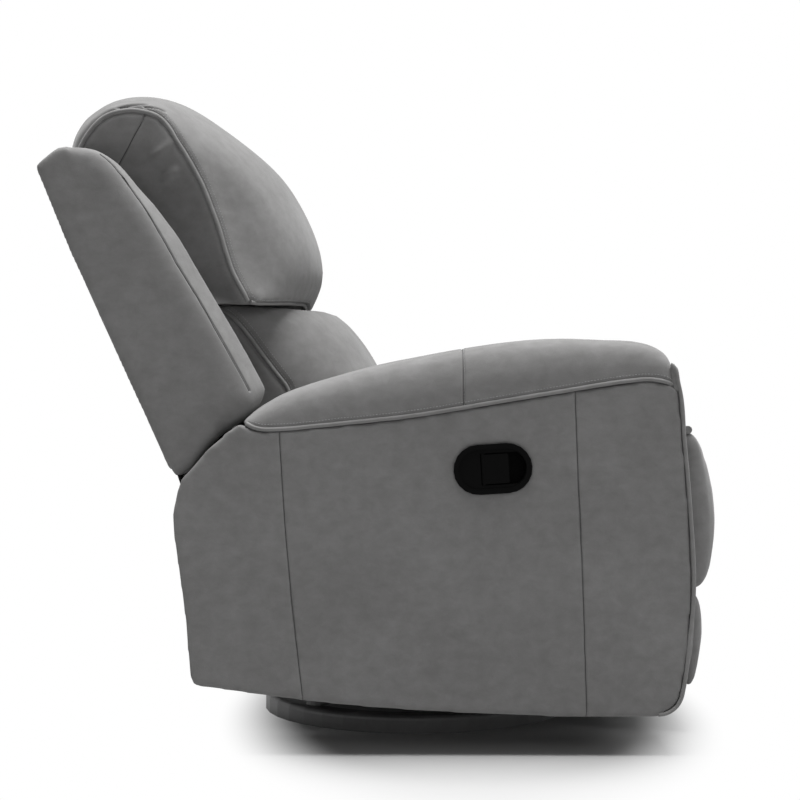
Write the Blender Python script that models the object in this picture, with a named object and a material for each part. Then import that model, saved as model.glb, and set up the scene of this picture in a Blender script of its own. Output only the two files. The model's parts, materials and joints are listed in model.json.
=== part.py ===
"""Swivel rocker recliner: an upholstered armchair that turns, rocks, reclines and lifts a footrest.

Metres, +Z up. The sitter faces -Y, and their right hand is at -X. Points of a side outline are (y, z), with y
measured from the swivel axis, which stands a little in front of the middle of the footprint.
"""

import math

import bmesh
import bpy
from mathutils import Matrix, Vector

# Clearances
GAP = 0.0003  # between pieces that touch
PIN_PLAY = 0.0003  # round a pin in its hole
PAD_GAP = 0.001  # under a padded piece

# Place of the swivel axis in the footprint
SWIVEL_Y = -0.040

# Widths across the chair, as distances from its middle
ARM_OUTER_X = 0.430
ARM_WIDTH = 0.160
PANEL_THICK = 0.018  # arm panels
REAR_THICK = 0.016  # rear panel
FRONT_PROUD = 0.0055  # arm front panels, which stand before the other panels
WING_INSET = 0.025  # from an arm's outer face to a wing's
WING_WIDTH = 0.060
PILLOW_INSET = 0.030  # from a wing's inner face to the pillow
SEAT_SIDE_GAP = 0.006  # between the seat cushion and an arm
PAD_SIDE_GAP = 0.008  # between an arm and the lumbar cushion or the footrest pads

# Base and swivel
RING_OUTER_R = 0.262
RING_WIDTH = 0.036
RING_HEIGHT = 0.030
RING_ROUND = 0.009
BAR_WIDTH = 0.036
BAR_HEIGHT = 0.014
SWIVEL_R = 0.105
SWIVEL_PLATE = 0.004
BEARING_R = 0.078
BEARING_WIDTH = 0.020
BEARING_HEIGHT = 0.005
BEARING_BEVEL = 0.00125
KING_PIN_R = 0.015

# Rocker
ROCK_Z = 0.105
CRADLE_X = 0.156
CRADLE_Y = 0.135
CRADLE_THICK = 0.006
LUG_R = 0.016
LUG_FOOT = 0.060  # half length of a lug where it leaves the cradle
SHAFT_R = 0.007
SHAFT_END = 0.006
BRIDGE_RISE = 0.045  # from the rocker shaft to the bridge plate
BRIDGE_THICK = 0.005
SPRING_X = 0.115
SPRING_Y = 0.098
SPRING_R = 0.021
SPRING_WIRE = 0.0045
SPRING_TURNS = 4
SPRING_POINTS = 9  # points on a turn

# Mechanism
PLATE_THICK = 0.004
PLATE_CORNER_R = 0.012
PLATE_FRONT_Y = -0.345
PLATE_KNEE = (-0.335, 0.280)
PLATE_FOOT = 0.035  # how far the side plates' foot reaches past the cross tubes
PLATE_STEP_Y = 0.205  # where the side plates climb to the recline pivot
BACK_LUG = 0.024  # metal round the recline pivot
WINDOW_R = 0.036
WINDOW_Y = 0.085
WINDOW_Z = 0.270
LINK_THICK = 0.004
LINK_HALF = 0.011
PIN_R = 0.004
CROSS_TUBE_R = 0.0125
CROSS_TUBE_Y = 0.135
TORQUE_TUBE_R = 0.008
TORQUE_TUBE_ALONG = 0.060  # from the drive link's pivot
DRIVE_PIVOT = Vector((-0.302, 0.312))
CONTROL_PIVOT = Vector((-0.2306, 0.2773))
DRIVE_LENGTH = 0.226
DRIVE_TO_CROSS = 0.160
DRIVE_ANGLE = -91.0  # closed, from the forward direction upwards
CROSS_TAIL = 0.052
CROSS_LENGTH = 0.191
CROSS_ANGLE = 59.0
TOE_LENGTH = 0.1886
TOE_ANGLE = 60.33
BOARD_OFFSET = Vector((0.0075, -0.065))  # from the footrest bracket's upper pivot to its lower one
SLOT_HALF = 0.0063  # travel of the control pin each way in the cross link's tail
SLOT_PLAY = 0.0018  # play across that slot
TOE_PLAY = 0.0016  # play of the toe link's pin in the footrest bracket
FLANGE_WIDTH = 0.022  # of the footrest bracket's flange
FLANGE_REACH = 0.030  # how far that flange passes the bracket's plate at each end

# Seat
RAIL_WIDTH = 0.030
RAIL_LOW_Z = 0.335
RAIL_TOP_Z = 0.400
RAIL_FRONT_Y = -0.385
RAIL_REAR_Y = 0.130
STRIP_HEIGHT = 0.008
STRIP_WIDTH = 0.020
ZIGZAG_WIRE = 0.002
ZIGZAG_COUNT = 4
ZIGZAG_WAVES = 8
ZIGZAG_SWING = 0.024
ZIGZAG_ARCH = 0.004

# Footrest
FOOT_BOARD_BACK_Y = -0.4147
FOOT_BOARD_THICK = 0.015
FOOT_BOARD_INSET = 0.012  # from the end of a pad to the end of the board
FOOT_BOARD_LOW_Z = 0.078
FOOT_BOARD_TOP_Z = 0.466

# Arms
ARM_CORNER_R = 0.040
ARM_FLOOR_GAP = 0.0595
ARM_SWEEP = 0.137  # how fast the lower edge climbs towards the rear
ARM_SWEEP_Y = -0.250  # where that climb starts
INNER_PANEL_LOW_Z = 0.200
INNER_PANEL_REAR_Y = 0.200
REAR_PANEL_TOP_Z = 0.357
REAR_PANEL_INSET = 0.003
PAD_SQUARE = 0.45  # lower is squarer across the arm pad's sides
PAD_CROWN = 0.7  # lower is fuller at the arm pad's shoulders

# Release handle in the right arm
HANDLE_Y = -0.113
HANDLE_Z = 0.4315
HANDLE_TILT = 3.5  # degrees, front end up
HANDLE_LENGTH = 0.1185
HANDLE_HEIGHT = 0.075
HANDLE_RIM = 0.005
HANDLE_PROUD = 0.003
HANDLE_DEPTH = 0.034
HANDLE_WALL = 0.004
HANDLE_DISH = 0.003  # from the rim's inner edge to the dished face
PADDLE_LENGTH = 0.038
PADDLE_THICK = 0.005
PADDLE_BARREL_R = 0.004
PADDLE_HINGE_BACK = 0.014  # the paddle's hinge, behind the handle's middle
PADDLE_SUNK = 0.002  # the hinge's middle, inside the arm's outer face
PADDLE_CORNER_R = 0.0025
PADDLE_SIDE_GAP = 0.0015
PADDLE_LIP = 0.006  # the lip that fingers pull
PADDLE_LIP_THICK = 0.0035
POCKET_INSET = 0.0135  # from the cup's long sides to the pocket
CABLE_R = 0.003
CABLE_BACK = 0.020  # where the cable leaves the cup, behind the handle's middle
CABLE_STRAIGHT = 0.012
CABLE_BENDS = [(-0.352, -0.088, 0.385), (-0.313, -0.068, 0.325)]
CABLE_HOLE = (-0.060, 0.310)

# Back
BACK_PIVOT = Vector((0.280, 0.400))
BACK_PIN_R = 0.006
BACK_FOOT = Vector((0.389, 0.455))  # lower end of the line along the outside of the back
BACK_LEAN = 23.2  # degrees from upright
BACK_WAIST = 0.060  # along that line, where the back leaves the arms
BACK_PANEL_THICK = 0.0097
BACK_PANEL_LENGTH = 0.475
OUTLINE_LENGTH = 0.475  # length of the outside panel that the outlines on the back are drawn for
BACK_PANEL_LOW = -0.028  # lower end, along the outside line
BACK_PANEL_EDGE = 0.006
BACK_RAIL_THICK = 0.0197
BACK_RAIL_WIDTH = 0.060
BACK_RAIL_LOW = 0.030  # lower rail, along the outside line
POST_DEPTH = 0.045
POST_WIDTH = 0.030
POST_DROP = 0.0166  # from where the pillow leaves the posts down to their top
POST_FOOT = -0.020
BRACKET_LENGTH = 0.190
BRACKET_HALF = 0.015
BRACKET_MARGIN = 0.018  # metal round the recline pivot
BRACKET_CORNER_R = 0.008
WING_ROUND = 0.006
WING_FOLD = 0.016  # from a wing's outer face to the fold of its front strip
WING_BEVEL = 0.026  # how far a wing's inner edge stands before its outer one
WING_TAPER = 0.35  # how fast that front strip reaches its full depth, from the top down

# Derived widths, from the arms inwards
ARM_INNER_X = ARM_OUTER_X - ARM_WIDTH
RAIL_OUTER_X = ARM_INNER_X - GAP
RAIL_INNER_X = RAIL_OUTER_X - RAIL_WIDTH
PLATE_OUTER_X = RAIL_INNER_X - GAP
PLATE_INNER_X = PLATE_OUTER_X - PLATE_THICK
LINK_PITCH = LINK_THICK + GAP
LINK_OUTER_X = [PLATE_INNER_X - GAP - layer * LINK_PITCH for layer in range(3)]
POST_OUTER_X = LINK_OUTER_X[0] - LINK_PITCH
WING_OUTER_X = ARM_OUTER_X - WING_INSET
WING_INNER_X = WING_OUTER_X - WING_WIDTH
PILLOW_X = WING_INNER_X - PILLOW_INSET
SEAT_X = ARM_INNER_X - SEAT_SIDE_GAP
SOFT_X = ARM_INNER_X - PAD_SIDE_GAP
PADDLE_X = PADDLE_SUNK - ARM_OUTER_X

# Derived depths and stretch of the back
BACK_STRETCH = (BACK_PANEL_LENGTH - BACK_WAIST) / (OUTLINE_LENGTH - BACK_WAIST)
BACK_RAIL_REAR = BACK_PANEL_THICK + GAP
POST_REAR = BACK_RAIL_REAR + BACK_RAIL_THICK + GAP
POST_FRONT = POST_REAR + POST_DEPTH

# Derived heights, from the floor upwards
BAR_Z = RING_HEIGHT + GAP
LOWER_PLATE_Z = BAR_Z + BAR_HEIGHT + GAP
BEARING_Z = LOWER_PLATE_Z + SWIVEL_PLATE + GAP
UPPER_PLATE_Z = BEARING_Z + BEARING_HEIGHT + GAP
CRADLE_Z = UPPER_PLATE_Z + SWIVEL_PLATE + GAP
BRIDGE_Z = ROCK_Z + BRIDGE_RISE
CROSS_TUBE_Z = BRIDGE_Z + BRIDGE_THICK + GAP + CROSS_TUBE_R
STRIP_Z = RAIL_TOP_Z + GAP
SEAT_BOTTOM_Z = STRIP_Z + STRIP_HEIGHT + ZIGZAG_ARCH + ZIGZAG_WIRE + GAP

SIDES = {"right": -1, "left": 1}

# Arm outlines
ARM_FRONT = [(-0.401, 0.100), (-0.4116, 0.235), (-0.4056, 0.385), (-0.398, 0.475), (-0.392, 0.546)]
FRONT_CAP = [(-0.3885, 0.562), (-0.3855, 0.582)]  # the front panel's rear edge where it covers the pad's end
ARM_REAR = [(0.332, 0.106), (0.3414, 0.1195), (0.349, 0.205), (0.361, 0.295), (0.3685, 0.3625),
            (0.355, 0.416)]
ARM_CUT = [(0.3412, 0.430), (0.3155, 0.4605), (0.2895, 0.482), (0.268, 0.4965)]
ARM_SEAM = [(-0.392, 0.5505), (-0.376, 0.5575), (-0.350, 0.562), (-0.317, 0.5595), (-0.203, 0.542),
            (-0.071, 0.520), (0.026, 0.505), (0.110, 0.496), (0.208, 0.487), (0.240, 0.487), (0.264, 0.497)]
ARM_TOP = [(-0.3845, 0.588), (-0.382, 0.597), (-0.3765, 0.605), (-0.3665, 0.6115), (-0.354, 0.6165),
           (-0.338, 0.621), (-0.304, 0.628), (-0.229, 0.631), (-0.139, 0.625), (-0.049, 0.6105),
           (0.110, 0.577), (0.193, 0.5515), (0.2205, 0.5375), (0.2385, 0.5265), (0.2515, 0.516),
           (0.263, 0.5045)]

# The outside panel's bow: how far up the outside line a point is, and how far behind that line
BACK_BOW = [(0.200, 0.0050), (0.330, 0.0075), (0.469, 0.0055)]

# Outlines on the back: how far up the outside line a point is, and how far before that line
WING_TOP = [(0.4822, 0.0337), (0.4792, 0.0639), (0.4665, 0.0894), (0.4364, 0.1045)]
WING_FRONT = [(0.3494, 0.1247), (0.2337, 0.1377), (0.1234, 0.1530), (0.0258, 0.1621)]
WING_BOTTOM = [(0.0100, 0.1586), (-0.0046, 0.1293), (-0.0086, 0.0964), (-0.0191, 0.0672), (-0.0381, 0.0311),
               (-0.0398, 0.0156)]

# Soft forms of the back: outline at the side gusset, outline in the middle, and where it meets the posts
PILLOW_SIDE = [(0.1678, 0.2101), (0.1911, 0.2065), (0.2203, 0.2032), (0.2910, 0.2096), (0.3637, 0.2125),
               (0.4319, 0.2058), (0.4937, 0.1909), (0.5156, 0.1601), (0.5259, 0.1209), (0.5138, 0.0831),
               (0.4967, 0.0595), (0.4731, 0.0385)]
PILLOW_MIDDLE = [(0.1394, 0.2763), (0.1671, 0.3208), (0.2143, 0.3382), (0.2790, 0.3436), (0.3684, 0.3315),
                 (0.4482, 0.2913), (0.5297, 0.2347), (0.5672, 0.1768), (0.5778, 0.1135), (0.5575, 0.0573),
                 (0.5233, 0.0230), (0.4829, 0.0155)]
PILLOW_REST = [0.4573, 0.2256]
LUMBAR_SIDE = [(-0.0311, 0.1792), (-0.0081, 0.1967), (0.0154, 0.2079), (0.0445, 0.2008), (0.0838, 0.1904),
               (0.1236, 0.1813), (0.1644, 0.1673), (0.1889, 0.1506)]
LUMBAR_MIDDLE = [(-0.0902, 0.3171), (-0.0716, 0.3447), (-0.0428, 0.3537), (-0.0007, 0.3544),
                 (0.0433, 0.3482), (0.0843, 0.3364), (0.1146, 0.3178), (0.1397, 0.2655)]
LUMBAR_REST = [0.2212, 0.0134]

POST_LENGTH = BACK_WAIST + (PILLOW_REST[0] - BACK_WAIST) * BACK_STRETCH - POST_DROP

# Other soft forms: outline at the side gusset and outline in the middle
SEAT_SIDE = [(-0.392, SEAT_BOTTOM_Z), (-0.406, 0.435), (-0.407, 0.460), (-0.398, 0.474), (-0.360, 0.478),
             (-0.250, 0.480), (-0.050, 0.480), (0.110, 0.476), (0.150, 0.462), (0.160, SEAT_BOTTOM_Z)]
SEAT_MIDDLE = [(-0.392, SEAT_BOTTOM_Z), (-0.411, 0.440), (-0.4125, 0.468), (-0.414, 0.484), (-0.375, 0.4935),
               (-0.250, 0.495), (-0.050, 0.494), (0.110, 0.489), (0.155, 0.472), (0.165, SEAT_BOTTOM_Z)]
FOOT_PAD_BACK_Y = FOOT_BOARD_BACK_Y - FOOT_BOARD_THICK - GAP
UPPER_PAD_SIDE = [(FOOT_PAD_BACK_Y, 0.2325), (-0.449, 0.234), (-0.4555, 0.262), (-0.4565, 0.343),
                  (-0.453, 0.428), (-0.447, 0.463), (FOOT_PAD_BACK_Y, 0.473)]
UPPER_PAD_MIDDLE = [(FOOT_PAD_BACK_Y, 0.2325), (-0.467, 0.236), (-0.489, 0.268), (-0.498, 0.345),
                    (-0.484, 0.430), (-0.458, 0.467), (FOOT_PAD_BACK_Y, 0.473)]
LOWER_PAD_SIDE = [(FOOT_PAD_BACK_Y, 0.0725), (-0.437, 0.075), (-0.444, 0.092), (-0.4495, 0.150),
                  (-0.449, 0.205), (-0.444, 0.225), (FOOT_PAD_BACK_Y, 0.2285)]
LOWER_PAD_MIDDLE = [(FOOT_PAD_BACK_Y, 0.0725), (-0.442, 0.078), (-0.458, 0.100), (-0.472, 0.156),
                    (-0.467, 0.203), (-0.451, 0.225), (FOOT_PAD_BACK_Y, 0.2285)]

# Crowns of soft forms: a high first number keeps the crown wide, a low second one makes it steep at the seams
CROWN_FLAT = (4, 0.5)
CROWN_PILLOW = (2.4, 0.6)
CROWN_LUMBAR = (2.6, 0.55)
CROWN_STATIONS = [-1.0, -0.97, -0.88, -0.72, -0.45, 0.0, 0.45, 0.72, 0.88, 0.97, 1.0]

# Finishes: colour, roughness, metallic
FINISHES = {
    "grey_suede": ((0.125, 0.122, 0.119), 0.62, 0.0),
    "grey_paint": ((0.085, 0.084, 0.083), 0.45, 0.3),
    "zinc_steel": ((0.42, 0.42, 0.43), 0.35, 1.0),
    "spring_steel": ((0.12, 0.12, 0.125), 0.40, 0.9),
    "pine": ((0.52, 0.36, 0.20), 0.70, 0.0),
    "black_plastic": ((0.009, 0.009, 0.010), 0.38, 0.0),
}


def start_scene():
    """Empties the scene and makes the collections for the chair and for the shapes that cut or join."""
    for obj in list(bpy.data.objects):
        bpy.data.objects.remove(obj, do_unlink=True)
    for name in ("swivel_rocker_recliner", "cutters"):
        bpy.context.scene.collection.children.link(bpy.data.collections.new(name))


def finish(name):
    """The named finish as a Principled material."""
    material = bpy.data.materials.get(name)
    if material is None:
        colour, roughness, metallic = FINISHES[name]
        material = bpy.data.materials.new(name)
        material.use_nodes = True
        shader = material.node_tree.nodes["Principled BSDF"]
        shader.inputs["Base Color"].default_value = (*colour, 1.0)
        shader.inputs["Roughness"].default_value = roughness
        shader.inputs["Metallic"].default_value = metallic
        material.diffuse_color = (*colour, 1.0)
    return material


def axis(name, point, parent=None):
    """An empty on a joint's axis. Its point is measured from the swivel axis at the floor."""
    empty = bpy.data.objects.new(name, None)
    empty["point"] = point
    empty.location = Vector(point)
    empty.empty_display_size = 0.05
    bpy.data.collections["swivel_rocker_recliner"].objects.link(empty)
    if parent:
        empty.parent = parent
        empty.location = Vector(point) - Vector(parent["point"])
    else:
        empty.location = Vector(point) + Vector((0, SWIVEL_Y, 0))
    return empty


def add(name, mesh, carrier, material):
    """Puts a mesh made in chair coordinates into the chair, carried by a joint's empty."""
    obj = bpy.data.objects.new(name, mesh)
    bpy.data.collections["swivel_rocker_recliner"].objects.link(obj)
    obj.parent = carrier
    obj.location = -Vector(carrier["point"])
    mesh.materials.append(finish(material))
    mesh.shade_smooth()
    mesh.set_sharp_from_angle(angle=math.radians(35))
    return obj


def shape(obj, mesh, operation):
    """Joins a mesh to an object, or cuts it out, with a Boolean."""
    tool = bpy.data.objects.new(f"{obj.name}_{operation.lower()}_{len(obj.modifiers)}", mesh)
    bpy.data.collections["cutters"].objects.link(tool)
    tool.parent = obj.parent
    tool.location = obj.location
    tool.hide_render = True
    tool.display_type = "WIRE"
    modifier = obj.modifiers.new(tool.name, "BOOLEAN")
    modifier.operation = operation
    modifier.object = tool
    modifier.solver = "EXACT"


def smooth(points, per_span=3):
    """Points on a smooth curve through the given points, with its ends kept."""
    points = [Vector(point) for point in points]
    padded = [points[0], *points, points[-1]]
    found = []
    for a, b, c, d in zip(padded, padded[1:], padded[2:], padded[3:]):
        for step in range(per_span):
            t = step / per_span
            bend = (2 * a - 5 * b + 4 * c - d) * t * t + (3 * b - a - 3 * c + d) * t ** 3
            found.append(b + 0.5 * ((c - a) * t + bend))
    return [*found, points[-1]]


def arc(centre, radius, start, end, count):
    """Points on an arc, with its angles in degrees from +Y towards +Z."""
    angles = [math.radians(start + (end - start) * step / count) for step in range(count + 1)]
    return [Vector(centre) + radius * Vector((math.cos(angle), math.sin(angle))) for angle in angles]


def ring(centre, radius, count=16):
    """A circle as a closed outline."""
    return arc(centre, radius, 0, 360 * (count - 1) / count, count - 1)


def capsule(a, b, radius, count=7):
    """The outline of a bar with round ends at two points."""
    turn = math.degrees(math.atan2(b[1] - a[1], b[0] - a[0]))
    return arc(b, radius, turn - 90, turn + 90, count) + arc(a, radius, turn + 90, turn + 270, count)


def rounded(corners, radius, count=4):
    """A closed outline whose corners are rounded to a radius."""
    corners = [Vector(corner) for corner in corners]
    found = []
    for before, corner, after in zip(corners[-1:] + corners[:-1], corners, corners[1:] + corners[:1]):
        to_before = (before - corner).normalized()
        to_after = (after - corner).normalized()
        half = to_before.angle(to_after) / 2
        reach = radius / math.tan(half)
        middle = corner + (to_before + to_after).normalized() * radius / math.sin(half)
        first = corner + to_before * reach - middle
        last = corner + to_after * reach - middle
        turn = first.angle_signed(last)
        for step in range(count + 1):
            spoke = first.copy()
            spoke.rotate(Matrix.Rotation(-turn * step / count, 2))
            found.append(middle + spoke)
    return found


def welded(curve):
    """A curve made a mesh with its caps joined to its sides."""
    guide = bpy.data.objects.new("guide", curve)
    bpy.context.scene.collection.objects.link(guide)
    graph = bpy.context.evaluated_depsgraph_get()
    mesh = bpy.data.meshes.new_from_object(guide.evaluated_get(graph))
    bpy.data.objects.remove(guide)
    bm = bmesh.new()
    bm.from_mesh(mesh)
    bmesh.ops.remove_doubles(bm, verts=bm.verts, dist=1e-6)
    bm.to_mesh(mesh)
    bm.free()
    return mesh


def plate(outlines, x_low, x_high):
    """A flat plate across X: its first outline is the edge, and the others are holes, all in (y, z)."""
    curve = bpy.data.curves.new("outline", "CURVE")
    curve.dimensions = "2D"
    curve.fill_mode = "BOTH"
    curve.extrude = (x_high - x_low) / 2
    for outline in outlines:
        spline = curve.splines.new("POLY")
        spline.points.add(len(outline) - 1)
        for point, (y, z) in zip(spline.points, outline):
            point.co = (y, z, 0, 1)
        spline.use_cyclic_u = True
    mesh = welded(curve)
    for vertex in mesh.vertices:
        y, z, x = vertex.co
        vertex.co = ((x_low + x_high) / 2 + x, y, z)
    return mesh


def side_plate_at(outlines, side, outer, thick):
    """A plate whose outer face lies at a distance from the chair's middle, on one side."""
    low, high = sorted((side * outer, side * (outer - thick)))
    return plate(outlines, low, high)


def box(low, high):
    """A block between two corners."""
    mesh = bpy.data.meshes.new("box")
    bm = bmesh.new()
    bmesh.ops.create_cube(bm, size=1)
    low, high = Vector(low), Vector(high)
    bmesh.ops.scale(bm, vec=high - low, verts=bm.verts)
    bmesh.ops.translate(bm, vec=(high + low) / 2, verts=bm.verts)
    bm.to_mesh(mesh)
    bm.free()
    return mesh


def rod(centre, radius, x_low, x_high, count=16):
    """A round bar along X, at a point (y, z)."""
    return plate([ring(centre, radius, count)], x_low, x_high)


def turned(profile, steps=40):
    """A shape turned about the swivel axis from a closed profile of (radius, z) points."""
    mesh = bpy.data.meshes.new("turned")
    bm = bmesh.new()
    points = [bm.verts.new((radius, 0, z)) for radius, z in profile]
    edges = [bm.edges.new(pair) for pair in zip(points, points[1:] + points[:1])]
    bmesh.ops.spin(bm, geom=points + edges, axis=(0, 0, 1), cent=(0, 0, 0), angle=math.tau, steps=steps,
                   use_merge=True)
    bmesh.ops.remove_doubles(bm, verts=bm.verts, dist=1e-6)
    bmesh.ops.recalc_face_normals(bm, faces=bm.faces)
    bm.to_mesh(mesh)
    bm.free()
    return mesh


def tube(points, radius, resolution=1):
    """A round wire or tube along points."""
    curve = bpy.data.curves.new("wire", "CURVE")
    curve.dimensions = "3D"
    curve.bevel_depth = radius
    curve.bevel_resolution = resolution
    curve.use_fill_caps = True
    spline = curve.splines.new("POLY")
    spline.points.add(len(points) - 1)
    for point, place in zip(spline.points, points):
        point.co = (*place, 1)
    return welded(curve)


def loft(rings):
    """A closed skin over rings that have as many points each, with its two ends closed."""
    mesh = bpy.data.meshes.new("loft")
    bm = bmesh.new()
    rows = [[bm.verts.new(point) for point in points] for points in rings]
    for row, following in zip(rows, rows[1:]):
        for i in range(len(row)):
            bm.faces.new((row[i - 1], row[i], following[i], following[i - 1]))
    bm.faces.new(rows[0])
    bm.faces.new(rows[-1])
    bmesh.ops.recalc_face_normals(bm, faces=bm.faces)
    bm.to_mesh(mesh)
    bm.free()
    return mesh


def crowned(side, middle, corners, half_width, crown_shape):
    """A cushion lofted across X: its outline swells from the side gussets to the middle.

    The corners close the outline where the cushion rests.
    """
    fullness, rise = crown_shape
    edge = smooth(side, 2)
    swell = smooth(middle, 2)
    rings = []
    for station in CROWN_STATIONS:
        crown = (1 - abs(station) ** fullness) ** rise
        outline = [a.lerp(b, crown) for a, b in zip(edge, swell)] + [Vector(corner) for corner in corners]
        rings.append([(station * half_width, y, z) for y, z in outline])
    return loft(rings)


def height_on(outline, y):
    """Height of an outline that runs rearwards, at one y."""
    for (y0, z0), (y1, z1) in zip(outline, outline[1:]):
        if y0 <= y <= y1:
            return z0 + (z1 - z0) * (y - y0) / (y1 - y0)
    return outline[-1][1]


def place_on(outline, z):
    """The y of an outline that runs upwards, at one height."""
    return height_on([(point[1], point[0]) for point in outline], z)


def back_point(along, forward):
    """A point of the back in (y, z): its place up the outside line and how far before that line it is."""
    lean = math.radians(BACK_LEAN)
    up = Vector((math.sin(lean), math.cos(lean)))
    out = Vector((-math.cos(lean), math.sin(lean)))
    return BACK_FOOT + up * along + out * forward


def on_back(along, forward):
    """A point of an outline on the back. Above the waist, outlines stretch with the outside panel."""
    above = max(0, along - BACK_WAIST)
    return back_point(along + above * (BACK_STRETCH - 1), forward)


def forward_point(start, length, angle):
    """The far end of a link, with its angle in degrees from the forward direction upwards."""
    return start + Vector((-math.cos(math.radians(angle)), math.sin(math.radians(angle)))) * length


# Pivots of the closed linkage
CROSS_PIVOT = forward_point(DRIVE_PIVOT, DRIVE_TO_CROSS, DRIVE_ANGLE)
TOE_PIVOT = forward_point(DRIVE_PIVOT, DRIVE_LENGTH, DRIVE_ANGLE)
CROSS_TAIL_POINT = forward_point(CROSS_PIVOT, -CROSS_TAIL, CROSS_ANGLE)
CONTROL_TIP = forward_point(CROSS_TAIL_POINT, -SLOT_HALF, CROSS_ANGLE)
BOARD_UPPER = forward_point(CROSS_PIVOT, CROSS_LENGTH, CROSS_ANGLE)
BOARD_LOWER = BOARD_UPPER + BOARD_OFFSET
TOE_TIP = forward_point(TOE_PIVOT, TOE_LENGTH, TOE_ANGLE)


def build_base(carrier):
    """The floor ring, the cross bars on it and the fixed half of the swivel."""
    inner = RING_OUTER_R - RING_WIDTH
    outer_edge = arc((RING_OUTER_R - RING_ROUND, RING_HEIGHT - RING_ROUND), RING_ROUND, 90, 0, 4)
    inner_edge = arc((inner + RING_ROUND, RING_HEIGHT - RING_ROUND), RING_ROUND, 180, 90, 4)
    add("base_ring", turned([*outer_edge, (RING_OUTER_R, 0), (inner, 0), *inner_edge]), carrier, "grey_paint")

    reach = RING_OUTER_R - RING_WIDTH / 3
    bars = add("base_crossbars", crossbar(reach, 45), carrier, "grey_paint")
    shape(bars, crossbar(reach, 135), "UNION")

    top = UPPER_PLATE_Z + SWIVEL_PLATE
    profile = [(0, top), (KING_PIN_R, top), (KING_PIN_R, BEARING_Z), (SWIVEL_R, BEARING_Z - GAP),
               (SWIVEL_R, LOWER_PLATE_Z), (0, LOWER_PLATE_Z)]
    add("swivel_lower_plate", turned(profile, 32), carrier, "zinc_steel")

    inner = BEARING_R - BEARING_WIDTH
    bearing_top = BEARING_Z + BEARING_HEIGHT
    profile = [(BEARING_R - BEARING_BEVEL, bearing_top), (BEARING_R, bearing_top - BEARING_BEVEL),
               (BEARING_R, BEARING_Z + BEARING_BEVEL), (BEARING_R - BEARING_BEVEL, BEARING_Z),
               (inner, BEARING_Z), (inner, bearing_top)]
    add("swivel_bearing", turned(profile, 32), carrier, "spring_steel")


def crossbar(reach, turn):
    """One straight bar of the cross, with round ends, turned about the swivel axis."""
    half = BAR_WIDTH / 2
    mesh = plate([capsule((half - reach, 0), (reach - half, 0), half)], 0, BAR_HEIGHT)
    angle = math.radians(turn)
    for vertex in mesh.vertices:
        height, along, across = vertex.co
        vertex.co = (along * math.cos(angle) - across * math.sin(angle),
                     along * math.sin(angle) + across * math.cos(angle), BAR_Z + height)
    return mesh


def build_swivel(carrier):
    """The turning half of the swivel, with the cradle that the chair rocks on."""
    hole = KING_PIN_R + PIN_PLAY
    top = UPPER_PLATE_Z + SWIVEL_PLATE
    profile = [(SWIVEL_R, top), (SWIVEL_R, UPPER_PLATE_Z), (hole, UPPER_PLATE_Z), (hole, top)]
    add("swivel_upper_plate", turned(profile, 32), carrier, "zinc_steel")

    plate_top = CRADLE_Z + CRADLE_THICK
    cradle = add("rocker_cradle", box((-CRADLE_X, -CRADLE_Y, CRADLE_Z), (CRADLE_X, CRADLE_Y, plate_top)),
                 carrier, "spring_steel")
    for side in SIDES.values():
        root = plate_top - CRADLE_THICK / 2
        outline = [(-LUG_FOOT, root), (LUG_FOOT, root), *arc((0, ROCK_Z), LUG_R, 20, 160, 8)]
        hole = ring((0, ROCK_Z), SHAFT_R + PIN_PLAY)
        shape(cradle, side_plate_at([outline, hole], side, CRADLE_X, CRADLE_THICK), "UNION")
    reach = CRADLE_X + GAP + BRIDGE_THICK + SHAFT_END
    add("rocker_shaft", rod((0, ROCK_Z), SHAFT_R, -reach, reach), carrier, "zinc_steel")

    for row, y in (("front", -SPRING_Y), ("rear", SPRING_Y)):
        for hand, side in SIDES.items():
            add(f"rocker_spring_{row}_{hand}", coil(side * SPRING_X, y), carrier, "spring_steel")


def coil(x, y):
    """A compression spring that stands between the cradle and the bridge."""
    low = CRADLE_Z + CRADLE_THICK + GAP + SPRING_WIRE
    high = BRIDGE_Z - GAP - SPRING_WIRE
    count = SPRING_TURNS * SPRING_POINTS
    points = []
    for step in range(count + 1):
        angle = math.tau * step / SPRING_POINTS
        points.append((x + SPRING_R * math.cos(angle), y + SPRING_R * math.sin(angle),
                       low + (high - low) * step / count))
    nearest = min((Vector(points[i]) - Vector(points[i + SPRING_POINTS])).length
                  for i in range(count + 1 - SPRING_POINTS))
    print(f"spring: least gap between turns {1000 * (nearest - 2 * SPRING_WIRE):.2f} mm")
    return tube(points, SPRING_WIRE)


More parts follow.
